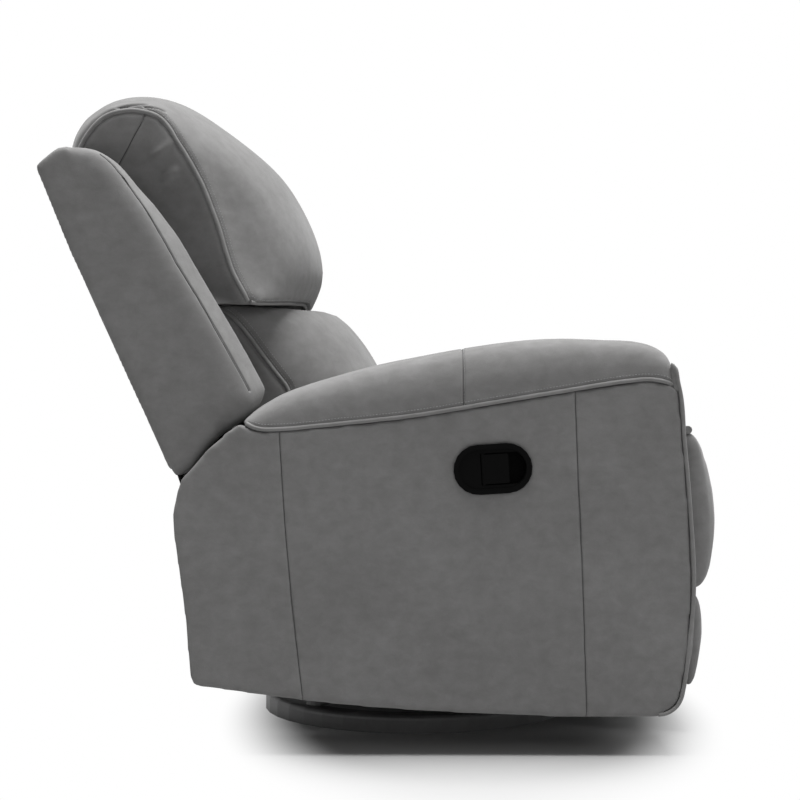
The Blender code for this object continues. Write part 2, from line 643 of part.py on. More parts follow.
def build_rocking_frame(carrier):
    """The bridge that rocks on the shaft, the cross tubes on it and the mechanism's side plates."""
    reach_x = CRADLE_X + GAP + BRIDGE_THICK
    reach_y = CROSS_TUBE_Y + CROSS_TUBE_R
    mesh = box((-reach_x, -reach_y, BRIDGE_Z), (reach_x, reach_y, BRIDGE_Z + BRIDGE_THICK))
    bridge = add("rocker_bridge", mesh, carrier, "spring_steel")
    for side in SIDES.values():
        top = BRIDGE_Z + BRIDGE_THICK / 2
        outline = [*arc((0, ROCK_Z), LUG_R, 200, 340, 8), (LUG_R * 2, top), (-LUG_R * 2, top)]
        hole = ring((0, ROCK_Z), SHAFT_R + PIN_PLAY)
        shape(bridge, side_plate_at([outline, hole], side, reach_x, BRIDGE_THICK), "UNION")
    reach = PLATE_INNER_X - GAP
    for row, y in (("front", -CROSS_TUBE_Y), ("rear", CROSS_TUBE_Y)):
        mesh = rod((y, CROSS_TUBE_Z), CROSS_TUBE_R, -reach, reach, 20)
        add(f"cross_tube_{row}", mesh, carrier, "spring_steel")

    foot = CROSS_TUBE_Z - 2 * CROSS_TUBE_R
    head = RAIL_TOP_Z - GAP
    corners = [(PLATE_FRONT_Y, head), PLATE_KNEE, (-CROSS_TUBE_Y - PLATE_FOOT, foot),
               (CROSS_TUBE_Y + PLATE_FOOT, foot), BACK_PIVOT + Vector((BACK_LUG, -BACK_LUG)),
               BACK_PIVOT + Vector((BACK_LUG * 0.7, BACK_LUG)), BACK_PIVOT + Vector((-BACK_LUG, BACK_LUG)),
               (PLATE_STEP_Y, head)]
    windows = [ring((y, WINDOW_Z), WINDOW_R, 20) for y in (-WINDOW_Y, WINDOW_Y)]
    pins = [(DRIVE_PIVOT, PIN_R), (CONTROL_PIVOT, PIN_R), (BACK_PIVOT, BACK_PIN_R)]
    for hand, side in SIDES.items():
        mesh = side_plate_at([rounded(corners, PLATE_CORNER_R), *windows], side, PLATE_OUTER_X, PLATE_THICK)
        obj = add(f"side_plate_{hand}", mesh, carrier, "spring_steel")
        for centre, radius in pins:
            shape(obj, pin(side, centre, radius, PLATE_INNER_X, PLATE_THICK), "UNION")


def pin(side, centre, radius, face_x, root):
    """A pin that stands inwards from a plate's inner face and fills the next plate's thickness."""
    outer = side * (face_x + root / 2)
    inner = side * (face_x - GAP - LINK_THICK)
    return rod(centre, radius, min(outer, inner), max(outer, inner), 12)


def build_seat(carrier):
    """The seat rails, the zigzag spring deck, the seat cushion and the rear panel."""
    for hand, side in SIDES.items():
        low, high = sorted((side * RAIL_OUTER_X, side * RAIL_INNER_X))
        add(f"seat_rail_{hand}", box((low, RAIL_FRONT_Y, RAIL_LOW_Z), (high, RAIL_REAR_Y, RAIL_TOP_Z)),
            carrier, "pine")
    reach = RAIL_INNER_X - GAP
    mesh = box((-reach, RAIL_FRONT_Y, RAIL_LOW_Z), (reach, RAIL_FRONT_Y + RAIL_WIDTH, RAIL_TOP_Z))
    add("seat_rail_front", mesh, carrier, "pine")
    reach = PLATE_INNER_X - GAP
    mesh = box((-reach, RAIL_REAR_Y - RAIL_WIDTH, RAIL_LOW_Z), (reach, RAIL_REAR_Y, RAIL_TOP_Z))
    add("seat_rail_rear", mesh, carrier, "pine")

    front_y = RAIL_FRONT_Y + RAIL_WIDTH / 2
    rear_y = RAIL_REAR_Y - RAIL_WIDTH / 2
    top = STRIP_Z + STRIP_HEIGHT
    deck = add("seat_spring_deck", strip(reach, front_y), carrier, "spring_steel")
    for number in range(ZIGZAG_COUNT):
        x = reach * (2 * (number + 0.5) / ZIGZAG_COUNT - 1)
        shape(deck, zigzag(x, front_y, rear_y, top), "UNION")
    shape(deck, strip(reach, rear_y), "UNION")

    add("seat_cushion", crowned(SEAT_SIDE, SEAT_MIDDLE, [], SEAT_X, CROWN_FLAT), carrier, "grey_suede")

    rear = [(y, z) for y, z in smooth(ARM_REAR[1:5]) if z < REAR_PANEL_TOP_Z]
    outline = [(y - REAR_PANEL_INSET, z) for y, z in rear]
    outline += [(y - REAR_PANEL_INSET - REAR_THICK, z) for y, z in reversed(rear)]
    reach = ARM_OUTER_X - PANEL_THICK - GAP
    add("rear_panel", plate([outline], -reach, reach), carrier, "grey_suede")


def strip(reach, y):
    """The clip strip that holds one end of the zigzag springs to its rail."""
    return box((-reach, y - STRIP_WIDTH / 2, STRIP_Z), (reach, y + STRIP_WIDTH / 2, STRIP_Z + STRIP_HEIGHT))


def zigzag(x, front_y, rear_y, z):
    """One zigzag spring wire, arched a little between its strips."""
    points = []
    for step in range(4 * ZIGZAG_WAVES + 1):
        share = step / (4 * ZIGZAG_WAVES)
        points.append((x + ZIGZAG_SWING * math.sin(math.tau * ZIGZAG_WAVES * share),
                       front_y + (rear_y - front_y) * share,
                       z + ZIGZAG_ARCH * math.sin(math.pi * share)))
    return tube(points, ZIGZAG_WIRE)


def arm_front_edge(inset):
    """The edge behind an arm's front panel, from below its lower corner upwards, moved in by an inset."""
    centre = (ARM_FRONT[0][0] + ARM_CORNER_R, ARM_FLOOR_GAP + ARM_CORNER_R)
    corner = arc(centre, ARM_CORNER_R - FRONT_PROUD - inset, 270, 180, 5)
    return corner + [Vector((y + inset, z)) for y, z in smooth(ARM_FRONT, 2)[1:]]


def front_panel_edge(inset):
    """One edge of an arm front panel, from under the lower corner to the cap before the pad's end."""
    return arm_front_edge(inset)[1:] + [Vector((y + inset, z)) for y, z in FRONT_CAP]


def arm_lower_edge(start_y, end_y, count=8):
    """The arm's lower edge, which sweeps up towards the rear so that the chair can rock."""
    found = []
    for step in range(count + 1):
        y = start_y + (end_y - start_y) * step / count
        found.append(Vector((y, ARM_FLOOR_GAP + ARM_SWEEP * max(0, y - ARM_SWEEP_Y) ** 2)))
    return found


def build_arm(hand, carrier):
    """One arm: its outer, inner and front panels and its padded top."""
    side = SIDES[hand]
    seam = arm_seam()
    front = arm_front_edge(GAP)
    under_seam = [Vector((y, z - PAD_GAP)) for y, z in seam if front[-1][0] < y]
    lower = arm_lower_edge(front[0][0] + GAP, ARM_REAR[0][0])
    rear = smooth(ARM_REAR, 2)[1:] + smooth(ARM_CUT, 2)
    outline = [*lower, *rear, *reversed(under_seam), *reversed(front[1:])]
    holes = [handle_outline(-HANDLE_RIM + GAP)] if hand == "right" else []
    add(f"arm_outer_panel_{hand}", side_plate_at([outline, *holes], side, ARM_OUTER_X, PANEL_THICK),
        carrier, "grey_suede")

    high_front = [point for point in front if point[1] > INNER_PANEL_LOW_Z]
    top = [point for point in under_seam if point[0] < INNER_PANEL_REAR_Y]
    outline = [Vector((place_on(front, INNER_PANEL_LOW_Z), INNER_PANEL_LOW_Z)), *high_front, *top,
               Vector((INNER_PANEL_REAR_Y, top[-1][1])), Vector((INNER_PANEL_REAR_Y, INNER_PANEL_LOW_Z))]
    holes = [ring(CABLE_HOLE, 2 * CABLE_R, 10)] if hand == "right" else []
    mesh = side_plate_at([outline, *holes], side, ARM_INNER_X + PANEL_THICK, PANEL_THICK)
    add(f"arm_inner_panel_{hand}", mesh, carrier, "grey_suede")

    outline = [*front_panel_edge(-FRONT_PROUD), *reversed(front_panel_edge(0))]
    add(f"arm_front_panel_{hand}", side_plate_at([outline], side, ARM_OUTER_X, ARM_WIDTH),
        carrier, "grey_suede")
    add(f"arm_pad_{hand}", arm_pad(side), carrier, "grey_suede")


def arm_seam():
    """The seam under the arm pad, at the pad's own stations from front to rear."""
    seam = smooth(ARM_SEAM)
    return [Vector((y, height_on(seam, y))) for y, top in smooth(ARM_TOP, 2)]


def arm_pad(side):
    """The puffy arm top, lofted from front to rear between its seam line and its crown line."""
    middle = ARM_OUTER_X - ARM_WIDTH / 2
    half = ARM_WIDTH / 2
    rings = []
    for (y, low), (y, top) in zip(arm_seam(), smooth(ARM_TOP, 2)):
        points = []
        for step in range(11):
            angle = math.pi * step / 10
            across = math.copysign(abs(math.cos(angle)) ** PAD_SQUARE, math.cos(angle))
            height = math.sin(angle) ** PAD_CROWN
            points.append((side * middle + half * across, y, low + (top - low) * height))
        rings.append(points)
    return loft(rings)


def handle_outline(grow):
    """The handle cup's long round outline in (y, z), grown by a margin."""
    half = HANDLE_HEIGHT / 2
    span = HANDLE_LENGTH / 2 - half
    tilt = math.radians(HANDLE_TILT)
    reach = Vector((span * math.cos(tilt), -span * math.sin(tilt)))
    centre = Vector((HANDLE_Y, HANDLE_Z))
    return capsule(centre - reach, centre + reach, half + grow, 10)


def handle_point(back, up):
    """A point on the handle's face: how far behind its middle and how far above its long axis."""
    tilt = math.radians(HANDLE_TILT)
    return Vector((HANDLE_Y + back * math.cos(tilt) + up * math.sin(tilt),
                   HANDLE_Z - back * math.sin(tilt) + up * math.cos(tilt)))


def pocket_outline():
    """The pocket round the paddle: square at its hinge, and round at the end where fingers go in."""
    rear = PADDLE_HINGE_BACK + PADDLE_BARREL_R + GAP
    half = HANDLE_HEIGHT / 2 - POCKET_INSET
    span = (HANDLE_LENGTH - HANDLE_HEIGHT) / 2
    radius = HANDLE_HEIGHT / 2 - HANDLE_RIM - HANDLE_WALL
    swing = math.asin(half / radius)
    front = []
    for step in range(11):
        angle = swing * (1 - step / 5)
        front.append(handle_point(-span - radius * math.cos(angle), radius * math.sin(angle)))
    return [handle_point(rear, -half), handle_point(rear, half), *front]


def build_handle(carrier, paddle_axis):
    """The oval cup in the right arm, its pull paddle and the cable to the mechanism."""
    face = -ARM_OUTER_X - GAP
    cup = add("handle_cup", plate([handle_outline(0)], face - HANDLE_PROUD, face), carrier, "black_plastic")
    shape(cup, plate([handle_outline(-HANDLE_RIM)], face - HANDLE_PROUD / 2, face + HANDLE_DEPTH), "UNION")
    outside = face - 2 * HANDLE_PROUD
    pocket = plate([pocket_outline()], outside, face + HANDLE_DEPTH - HANDLE_WALL)
    shape(cup, pocket, "DIFFERENCE")
    dish = plate([handle_outline(-HANDLE_RIM - HANDLE_DISH)], outside, face - HANDLE_PROUD / 3)
    shape(cup, dish, "DIFFERENCE")

    half = HANDLE_HEIGHT / 2 - POCKET_INSET - GAP
    leaf_half = half - PADDLE_SIDE_GAP
    tip = PADDLE_HINGE_BACK - PADDLE_LENGTH
    corners = [handle_point(PADDLE_HINGE_BACK, -leaf_half), handle_point(PADDLE_HINGE_BACK, leaf_half),
               handle_point(tip, leaf_half), handle_point(tip, -leaf_half)]
    leaf_x = PADDLE_X - PADDLE_BARREL_R
    paddle = add("handle_paddle", plate([rounded(corners, PADDLE_CORNER_R)], leaf_x, leaf_x + PADDLE_THICK),
                 paddle_axis, "black_plastic")
    low = handle_point(PADDLE_HINGE_BACK, -half)
    high = handle_point(PADDLE_HINGE_BACK, half)
    shape(paddle, tube([(PADDLE_X, *low), (PADDLE_X, *high)], PADDLE_BARREL_R, 3), "UNION")
    front = tip + PADDLE_SIDE_GAP / 2
    rear = front + PADDLE_LIP_THICK
    half = leaf_half - PADDLE_CORNER_R
    corners = [handle_point(rear, -half), handle_point(rear, half), handle_point(front, half),
               handle_point(front, -half)]
    shape(paddle, plate([corners], leaf_x + PADDLE_THICK / 2, leaf_x + PADDLE_THICK + PADDLE_LIP), "UNION")

    start = handle_point(CABLE_BACK, 0)
    inner = face + HANDLE_DEPTH + GAP
    hole_outer = -ARM_INNER_X - PANEL_THICK
    end = (-PLATE_OUTER_X - GAP, *CABLE_HOLE)
    route = smooth([(inner + CABLE_STRAIGHT, *start), *CABLE_BENDS, (hole_outer, *CABLE_HOLE)])
    add("release_cable", tube([(inner, *start), *route, end], CABLE_R), carrier, "black_plastic")


def build_back(carrier):
    """The back: hinge brackets, posts, rails, wings, outside panel, headrest pillow and lumbar cushion."""
    post = [back_point(POST_FOOT, POST_REAR), back_point(POST_FOOT, POST_FRONT),
            back_point(POST_LENGTH, POST_FRONT), back_point(POST_LENGTH, POST_REAR)]
    spine = POST_REAR + POST_DEPTH / 2
    low, high = spine - BRACKET_HALF, spine + BRACKET_HALF
    margin = BRACKET_MARGIN
    corners = [BACK_PIVOT + Vector((-margin, -margin)), BACK_PIVOT + Vector((margin, -margin)),
               back_point(POST_FOOT, low), back_point(BRACKET_LENGTH, low), back_point(BRACKET_LENGTH, high),
               back_point(margin, high), BACK_PIVOT + Vector((-margin, margin))]
    bracket = rounded(corners, BRACKET_CORNER_R)
    hole = ring(BACK_PIVOT, BACK_PIN_R + PIN_PLAY)
    for hand, side in SIDES.items():
        add(f"back_bracket_{hand}", side_plate_at([bracket, hole], side, LINK_OUTER_X[0], LINK_THICK),
            carrier, "spring_steel")
        add(f"back_post_{hand}", side_plate_at([post], side, POST_OUTER_X, POST_WIDTH), carrier, "pine")
        add(f"wing_{hand}", wing(side), carrier, "grey_suede")

    reach = WING_INNER_X - GAP
    rail_front = POST_REAR - GAP
    for row, low in (("bottom", BACK_RAIL_LOW), ("top", POST_LENGTH - BACK_RAIL_WIDTH)):
        high = low + BACK_RAIL_WIDTH
        outline = [back_point(low, BACK_RAIL_REAR), back_point(high, BACK_RAIL_REAR),
                   back_point(high, rail_front), back_point(low, rail_front)]
        add(f"back_rail_{row}", plate([outline], -reach, reach), carrier, "pine")

    outline = [back_point(BACK_PANEL_LOW - BACK_PANEL_EDGE, BACK_PANEL_THICK), back_point(BACK_PANEL_LOW, 0),
               *(on_back(along, -out) for along, out in BACK_BOW),
               back_point(BACK_PANEL_LENGTH, BACK_PANEL_THICK)]
    add("back_panel", plate([outline], -WING_OUTER_X, WING_OUTER_X), carrier, "grey_suede")

    add("headrest_pillow", back_cushion(PILLOW_SIDE, PILLOW_MIDDLE, PILLOW_REST, PILLOW_X, CROWN_PILLOW),
        carrier, "grey_suede")
    add("lumbar_cushion", back_cushion(LUMBAR_SIDE, LUMBAR_MIDDLE, LUMBAR_REST, SOFT_X, CROWN_LUMBAR),
        carrier, "grey_suede")


def back_cushion(side, middle, rest, half_width, crown_shape):
    """A crowned cushion whose outlines are on the back, and which rests against the posts."""
    edge = [on_back(*point) for point in side]
    swell = [on_back(*point) for point in middle]
    corners = [on_back(along, POST_FRONT + GAP) for along in rest]
    return crowned(edge, swell, corners, half_width, crown_shape)


def wing(side):
    """One padded wing of the back: a flat outer face, and a front strip that slants inwards and forwards."""
    lean = math.radians(BACK_LEAN)
    ahead = Vector((-math.cos(lean), math.sin(lean)))
    top = [on_back(*point) for point in WING_TOP]
    front = smooth([on_back(*point) for point in WING_FRONT], 2)
    bottom = [on_back(*point) for point in WING_BOTTOM]
    rear_top = BACK_PANEL_LENGTH - BACK_PANEL_EDGE
    rings = []
    for x, inset, bevel in ((WING_INNER_X, 0, 1.0), (WING_OUTER_X - WING_FOLD, 0, 0.15),
                            (WING_OUTER_X - WING_ROUND, 0, 0), (WING_OUTER_X, WING_ROUND, 0)):
        outline = [back_point(0, BACK_RAIL_REAR + inset), back_point(rear_top, BACK_RAIL_REAR + inset)]
        outline += [point - Vector((0, inset)) for point in top[:3]]
        for step, point in enumerate((top[3], *front), 1):
            outline.append(point + ahead * (WING_BEVEL * bevel * min(1, WING_TAPER * step) - inset))
        outline += [bottom[0] + ahead * (WING_BEVEL * bevel / 2 - inset)]
        outline += [point + Vector((0, inset)) for point in bottom[1:]]
        rings.append([(side * x, y, z) for y, z in outline])
    return loft(rings)


def build_footrest(drive, cross, control, toe, footrest):
    """The two pantographs, the torque tube between them, and the board with its two pads."""
    for hand, side in SIDES.items():
        build_links(hand, side, drive, cross, control, toe, footrest)
    spot = forward_point(DRIVE_PIVOT, TORQUE_TUBE_ALONG, DRIVE_ANGLE)
    reach = LINK_OUTER_X[1]
    add("torque_tube", rod(spot, TORQUE_TUBE_R, -reach, reach), drive, "spring_steel")

    board_front = FOOT_BOARD_BACK_Y - FOOT_BOARD_THICK
    reach = SOFT_X - FOOT_BOARD_INSET
    mesh = box((-reach, board_front, FOOT_BOARD_LOW_Z), (reach, FOOT_BOARD_BACK_Y, FOOT_BOARD_TOP_Z))
    add("footrest_board", mesh, footrest, "pine")
    add("footrest_pad_upper", crowned(UPPER_PAD_SIDE, UPPER_PAD_MIDDLE, [], SOFT_X, CROWN_FLAT),
        footrest, "grey_suede")
    add("footrest_pad_lower", crowned(LOWER_PAD_SIDE, LOWER_PAD_MIDDLE, [], SOFT_X, CROWN_FLAT),
        footrest, "grey_suede")


def build_links(hand, side, drive, cross, control, toe, footrest):
    """One side's links. A pin stands on the outer link of each pair and runs in a hole of the inner one."""
    hole = PIN_R + PIN_PLAY
    first, second, third = LINK_OUTER_X
    face = [outer - LINK_THICK for outer in LINK_OUTER_X]

    outlines = [capsule(DRIVE_PIVOT, TOE_PIVOT, LINK_HALF), ring(DRIVE_PIVOT, hole, 12)]
    mesh = side_plate_at(outlines, side, first, LINK_THICK)
    obj = add(f"drive_link_{hand}", mesh, drive, "spring_steel")
    shape(obj, pin(side, CROSS_PIVOT, PIN_R, face[0], LINK_THICK), "UNION")
    shape(obj, pin(side, TOE_PIVOT, PIN_R, face[0], LINK_THICK), "UNION")

    outlines = [capsule(CONTROL_PIVOT, CONTROL_TIP, LINK_HALF), ring(CONTROL_PIVOT, hole, 12)]
    mesh = side_plate_at(outlines, side, first, LINK_THICK)
    obj = add(f"control_link_{hand}", mesh, control, "spring_steel")
    shape(obj, pin(side, CONTROL_TIP, PIN_R, face[0], LINK_THICK), "UNION")

    slot_near = forward_point(CROSS_TAIL_POINT, SLOT_HALF, CROSS_ANGLE)
    outlines = [capsule(CONTROL_TIP, BOARD_UPPER, LINK_HALF), ring(CROSS_PIVOT, hole, 12),
                capsule(CONTROL_TIP, slot_near, PIN_R + SLOT_PLAY)]
    mesh = side_plate_at(outlines, side, second, LINK_THICK)
    obj = add(f"cross_link_{hand}", mesh, cross, "spring_steel")
    shape(obj, pin(side, BOARD_UPPER, PIN_R, face[1], LINK_THICK), "UNION")

    outlines = [capsule(TOE_PIVOT, TOE_TIP, LINK_HALF), ring(TOE_PIVOT, hole, 12)]
    mesh = side_plate_at(outlines, side, second, LINK_THICK)
    obj = add(f"toe_link_{hand}", mesh, toe, "spring_steel")
    shape(obj, pin(side, TOE_TIP, PIN_R, face[1], LINK_THICK), "UNION")

    back = FOOT_BOARD_BACK_Y + GAP
    top = BOARD_UPPER[1] + LINK_HALF
    bottom = BOARD_LOWER[1] - LINK_HALF
    corners = [(back, top), (BOARD_UPPER[0] + LINK_HALF, top), (BOARD_LOWER[0] + LINK_HALF, bottom),
               (back, bottom)]
    outlines = [rounded(corners, LINK_HALF / 2), ring(BOARD_UPPER, hole, 12),
                ring(BOARD_LOWER, PIN_R + TOE_PLAY + PIN_PLAY, 12)]
    mesh = side_plate_at(outlines, side, third, LINK_THICK)
    obj = add(f"footrest_bracket_{hand}", mesh, footrest, "spring_steel")
    flange = sorted((side * (third - LINK_THICK / 2), side * (third - LINK_THICK / 2 - FLANGE_WIDTH)))
    mesh = box((flange[0], back, bottom - FLANGE_REACH), (flange[1], back + LINK_THICK, top + FLANGE_REACH))
    shape(obj, mesh, "UNION")


def main():
    start_scene()
    base = axis("base_frame", (0, 0, 0))
    swivel = axis("swivel_axis", (0, 0, 0), base)
    rocker = axis("rocker_axis", (0, 0, ROCK_Z), swivel)
    back = axis("recline_axis", (0, *BACK_PIVOT), rocker)
    drive = axis("footrest_axis", (0, *DRIVE_PIVOT), rocker)
    control = axis("control_axis", (0, *CONTROL_PIVOT), rocker)
    cross = axis("cross_axis", (0, *CROSS_PIVOT), drive)
    toe = axis("toe_axis", (0, *TOE_PIVOT), drive)
    footrest = axis("board_axis", (0, *BOARD_UPPER), cross)
    paddle = axis("paddle_axis", (PADDLE_X, *handle_point(PADDLE_HINGE_BACK, 0)), rocker)

    build_base(base)
    build_swivel(swivel)
    build_rocking_frame(rocker)
    build_seat(rocker)
    for hand in SIDES:
        build_arm(hand, rocker)
    build_handle(rocker, paddle)
    build_back(back)
    build_footrest(drive, cross, control, toe, footrest)


main()
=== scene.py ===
# %% [markdown]
# # A swivel rocker recliner in grey suede cloth
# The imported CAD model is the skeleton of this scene: it has every solid and every joint in its place.
# Here the steel, timber and plastic keep their solids and get finishes, and everything that an upholsterer
# would sew is made again as soft pieces, with padding, piping and stitching.

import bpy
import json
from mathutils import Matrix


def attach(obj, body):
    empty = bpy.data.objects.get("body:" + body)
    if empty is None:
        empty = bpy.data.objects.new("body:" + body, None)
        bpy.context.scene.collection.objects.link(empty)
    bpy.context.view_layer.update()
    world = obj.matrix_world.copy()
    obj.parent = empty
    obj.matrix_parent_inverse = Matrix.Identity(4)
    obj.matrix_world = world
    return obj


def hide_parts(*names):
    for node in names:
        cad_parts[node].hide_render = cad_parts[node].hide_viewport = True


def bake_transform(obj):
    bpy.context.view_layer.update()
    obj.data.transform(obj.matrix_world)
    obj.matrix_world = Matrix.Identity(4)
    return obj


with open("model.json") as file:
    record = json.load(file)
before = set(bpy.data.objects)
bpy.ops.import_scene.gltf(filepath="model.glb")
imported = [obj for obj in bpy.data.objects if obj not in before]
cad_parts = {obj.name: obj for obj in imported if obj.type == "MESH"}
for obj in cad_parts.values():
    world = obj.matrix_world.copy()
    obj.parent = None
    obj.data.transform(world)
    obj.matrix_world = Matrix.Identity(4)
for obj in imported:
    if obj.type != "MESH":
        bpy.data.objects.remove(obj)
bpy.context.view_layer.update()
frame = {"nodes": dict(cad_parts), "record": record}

# %% [markdown]
# ## Tools
# `bmesh` builds and edits meshes, `numpy` moves thousands of points at once, and the two trees find the
# nearest point of a surface or of a line. The Standard view shows colours as they are, as a shop photo does.

# %% Tools
import json
import math

import bmesh
import bpy
import numpy as np
from mathutils import Matrix, Vector, noise
from mathutils.bvhtree import BVHTree
from mathutils.kdtree import KDTree

scene = bpy.context.scene
scene.view_settings.view_transform = "Standard"

# %% [markdown]
# ## The camera
# The photograph looks straight at the chair's right side, level, from about three metres. A long lens at
# that distance keeps the near arm and the far pillow at their true sizes against each other.

# %% Camera
camera = bpy.data.objects.new("camera", bpy.data.cameras.new("camera"))
scene.collection.objects.link(camera)
scene.camera = camera
camera.data.lens = 74.1
camera.location = (-2.9, -0.0136, 0.535)
camera.rotation_euler = (math.radians(90.0), 0.0, math.radians(-90.0))
print("camera", [round(v, 3) for v in camera.location], "lens", camera.data.lens, "mm")

# %% [markdown]
# ## Shader maths as plain sums
# A material is a tree of nodes. Written link by link it is hard to read, so a small class wraps one output
# of a node: a sum or a product of two of them adds the Math node by itself, and `node` adds any other kind.


# %% One value in a material
class Wire:
    def __init__(self, socket):
        self.socket = socket

    def node(self, kind, sockets, settings=None, output=0):
        tree = self.socket.id_data
        made = tree.nodes.new(kind)
        for name, value in (settings or {}).items():
            if name == "stops":
                while len(made.color_ramp.elements) < len(value):
                    made.color_ramp.elements.new(0.5)
                for element, (place, grey) in zip(made.color_ramp.elements, value):
                    element.position, element.color = place, (grey, grey, grey, 1.0)
            else:
                setattr(made, name, value)
        for key, value in sockets.items():
            if isinstance(value, Wire):
                tree.links.new(value.socket, made.inputs[key])
            else:
                made.inputs[key].default_value = value
        return Wire(made.outputs[output])

    def math(self, operation, first, second):
        return self.node("ShaderNodeMath", {0: first, 1: second}, {"operation": operation})

    def __add__(self, other):
        return self.math("ADD", self, other)

    def __radd__(self, other):
        return self.math("ADD", other, self)

    def __sub__(self, other):
        return self.math("SUBTRACT", self, other)

    def __rsub__(self, other):
        return self.math("SUBTRACT", other, self)

    def __mul__(self, other):
        return self.math("MULTIPLY", self, other)

    def __rmul__(self, other):
        return self.math("MULTIPLY", other, self)

    def noise(self, scale, detail=2.0, roughness=0.5, distortion=0.0):
        return self.node("ShaderNodeTexNoise", {"Vector": self, "Scale": scale, "Detail": detail,
                                                "Roughness": roughness, "Distortion": distortion})

    def ramp(self, *stops):
        return self.node("ShaderNodeValToRGB", {"Fac": self}, {"stops": stops})

    def mix(self, dark, light):
        return self.node("ShaderNodeMix", {"Factor": self, 6: dark, 7: light}, {"data_type": "RGBA"}, 2)

    def bump(self, strength, distance):
        return self.node("ShaderNodeBump", {"Height": self, "Strength": strength, "Distance": distance})


# %% [markdown]
# Every material below starts in the same way: a Principled shader with a few constants, and the place on
# the object as the input of all its patterns. Object coordinates stay put when a piece moves with a joint.

# %% A new material
def start_material(name, **constants):
    material = bpy.data.materials.new(name)
    material.use_nodes = True
    shader = material.node_tree.nodes["Principled BSDF"]
    for key, value in constants.items():
        shader.inputs[key.replace("_", " ")].default_value = value
    place = material.node_tree.nodes.new("ShaderNodeTexCoord")
    return material, shader, Wire(place.outputs["Object"])


def plug(shader, **wires):
    for key, wire in wires.items():
        shader.id_data.links.new(wire.socket, shader.inputs[key.replace("_", " ")])


def grey(level, warm=0.0):
    return (level * (1.0 + warm), level, level * (1.0 - warm), 1.0)


# %% [markdown]
# ## The room
# A product photograph is taken on a white sweep under a big soft light. The floor is a plain sheet that
# takes the chair's shadow. Away from the chair the camera sees it as pure white, which only the camera's own
# rays do, so the white sheet adds no light to the chair.

# %% Floor
FLOOR_SIZE = 30.0
SHADE_NEAR, SHADE_FAR = 0.28, 0.43
shape = bmesh.new()
bmesh.ops.create_grid(shape, x_segments=2, y_segments=2, size=FLOOR_SIZE / 2)
floor_mesh = bpy.data.meshes.new("floor")
shape.to_mesh(floor_mesh)
shape.free()
floor = bpy.data.objects.new("floor", floor_mesh)
scene.collection.objects.link(floor)
paper, shader, spot = start_material("white_sweep", Base_Color=grey(0.40), Roughness=0.9)
oval = spot.node("ShaderNodeMapping", {"Vector": spot, "Location": (0.0, 0.13, 0.0),
                                       "Scale": (0.5, 1.0, 1.0)})
away = oval.node("ShaderNodeVectorMath", {0: oval}, {"operation": "LENGTH"}, "Value")
glow = away.node("ShaderNodeMapRange", {"Value": away, "From Min": SHADE_NEAR, "From Max": SHADE_FAR},
                 {"interpolation_type": "SMOOTHSTEP"})
rays = {name: spot.node("ShaderNodeLightPath", {}, output=name)
        for name in ("Is Camera Ray", "Is Glossy Ray", "Is Transmission Ray")}
seen = rays["Is Camera Ray"] + rays["Is Glossy Ray"] + rays["Is Transmission Ray"]
white = spot.node("ShaderNodeEmission", {"Color": grey(1.0), "Strength": 1.0})
body = Wire(shader.outputs[0])
sweep = glow.node("ShaderNodeMixShader", {"Fac": glow * seen, 1: body, 2: white})
paper.node_tree.links.new(sweep.socket, paper.node_tree.nodes["Material Output"].inputs["Surface"])
floor_mesh.materials.append(paper)
print("floor", FLOOR_SIZE, "m")

# %% [markdown]
# Three soft lamps stand in for the studio: a very large one far overhead, so that the pillow's crown gets
# hardly more light than the arm, a weak one in front, and a weak one beside the camera. The sky is white to
# the eye but lights the chair only faintly.

# %% World and lamps
SKY_LEVEL = 0.13
world = bpy.data.worlds.new("studio")
world.use_nodes = True
scene.world = world
sky = Wire(world.node_tree.nodes.new("ShaderNodeLightPath").outputs["Is Camera Ray"])
shine = Wire(sky.socket.node.outputs["Is Glossy Ray"])
glass = Wire(sky.socket.node.outputs["Is Transmission Ray"])
seen = sky + shine + glass
level = seen.node("ShaderNodeMapRange", {"Value": seen, "To Min": SKY_LEVEL, "To Max": 1.0})
background = world.node_tree.nodes["Background"]
background.inputs["Color"].default_value = grey(1.0)
world.node_tree.links.new(level.socket, background.inputs["Strength"])


def lamp(name, power, size, place, aim):
    light = bpy.data.lights.new(name, "AREA")
    light.energy, light.shape, light.size = power, "DISK", size
    holder = bpy.data.objects.new(name, light)
    holder.location = place
    holder.rotation_euler = (Vector(aim) - Vector(place)).to_track_quat("-Z", "Y").to_euler()
    scene.collection.objects.link(holder)
    print("lamp", name, power, "W")


lamp("overhead_softbox", 1540.0, 5.8, (0.0, 0.1, 9.0), (0.0, 0.0, 0.4))
lamp("front_softbox", 27.0, 1.8, (-0.6, -3.0, 2.3), (0.0, 0.0, 0.6))
lamp("camera_softbox", 8.0, 2.4, (-3.2, -0.3, 1.5), (0.0, 0.0, 0.5))

# %% [markdown]
# ## Suede cloth
# The cover is a polyester suede: a short dense nap that drinks the light and shows soft clouds where a hand
# has brushed it one way or the other. A photograph of cloth would only fit one view, so the clouds, the
# finer flecks and the nap are noise at three sizes. Sheen lifts the edges, as a nap does.


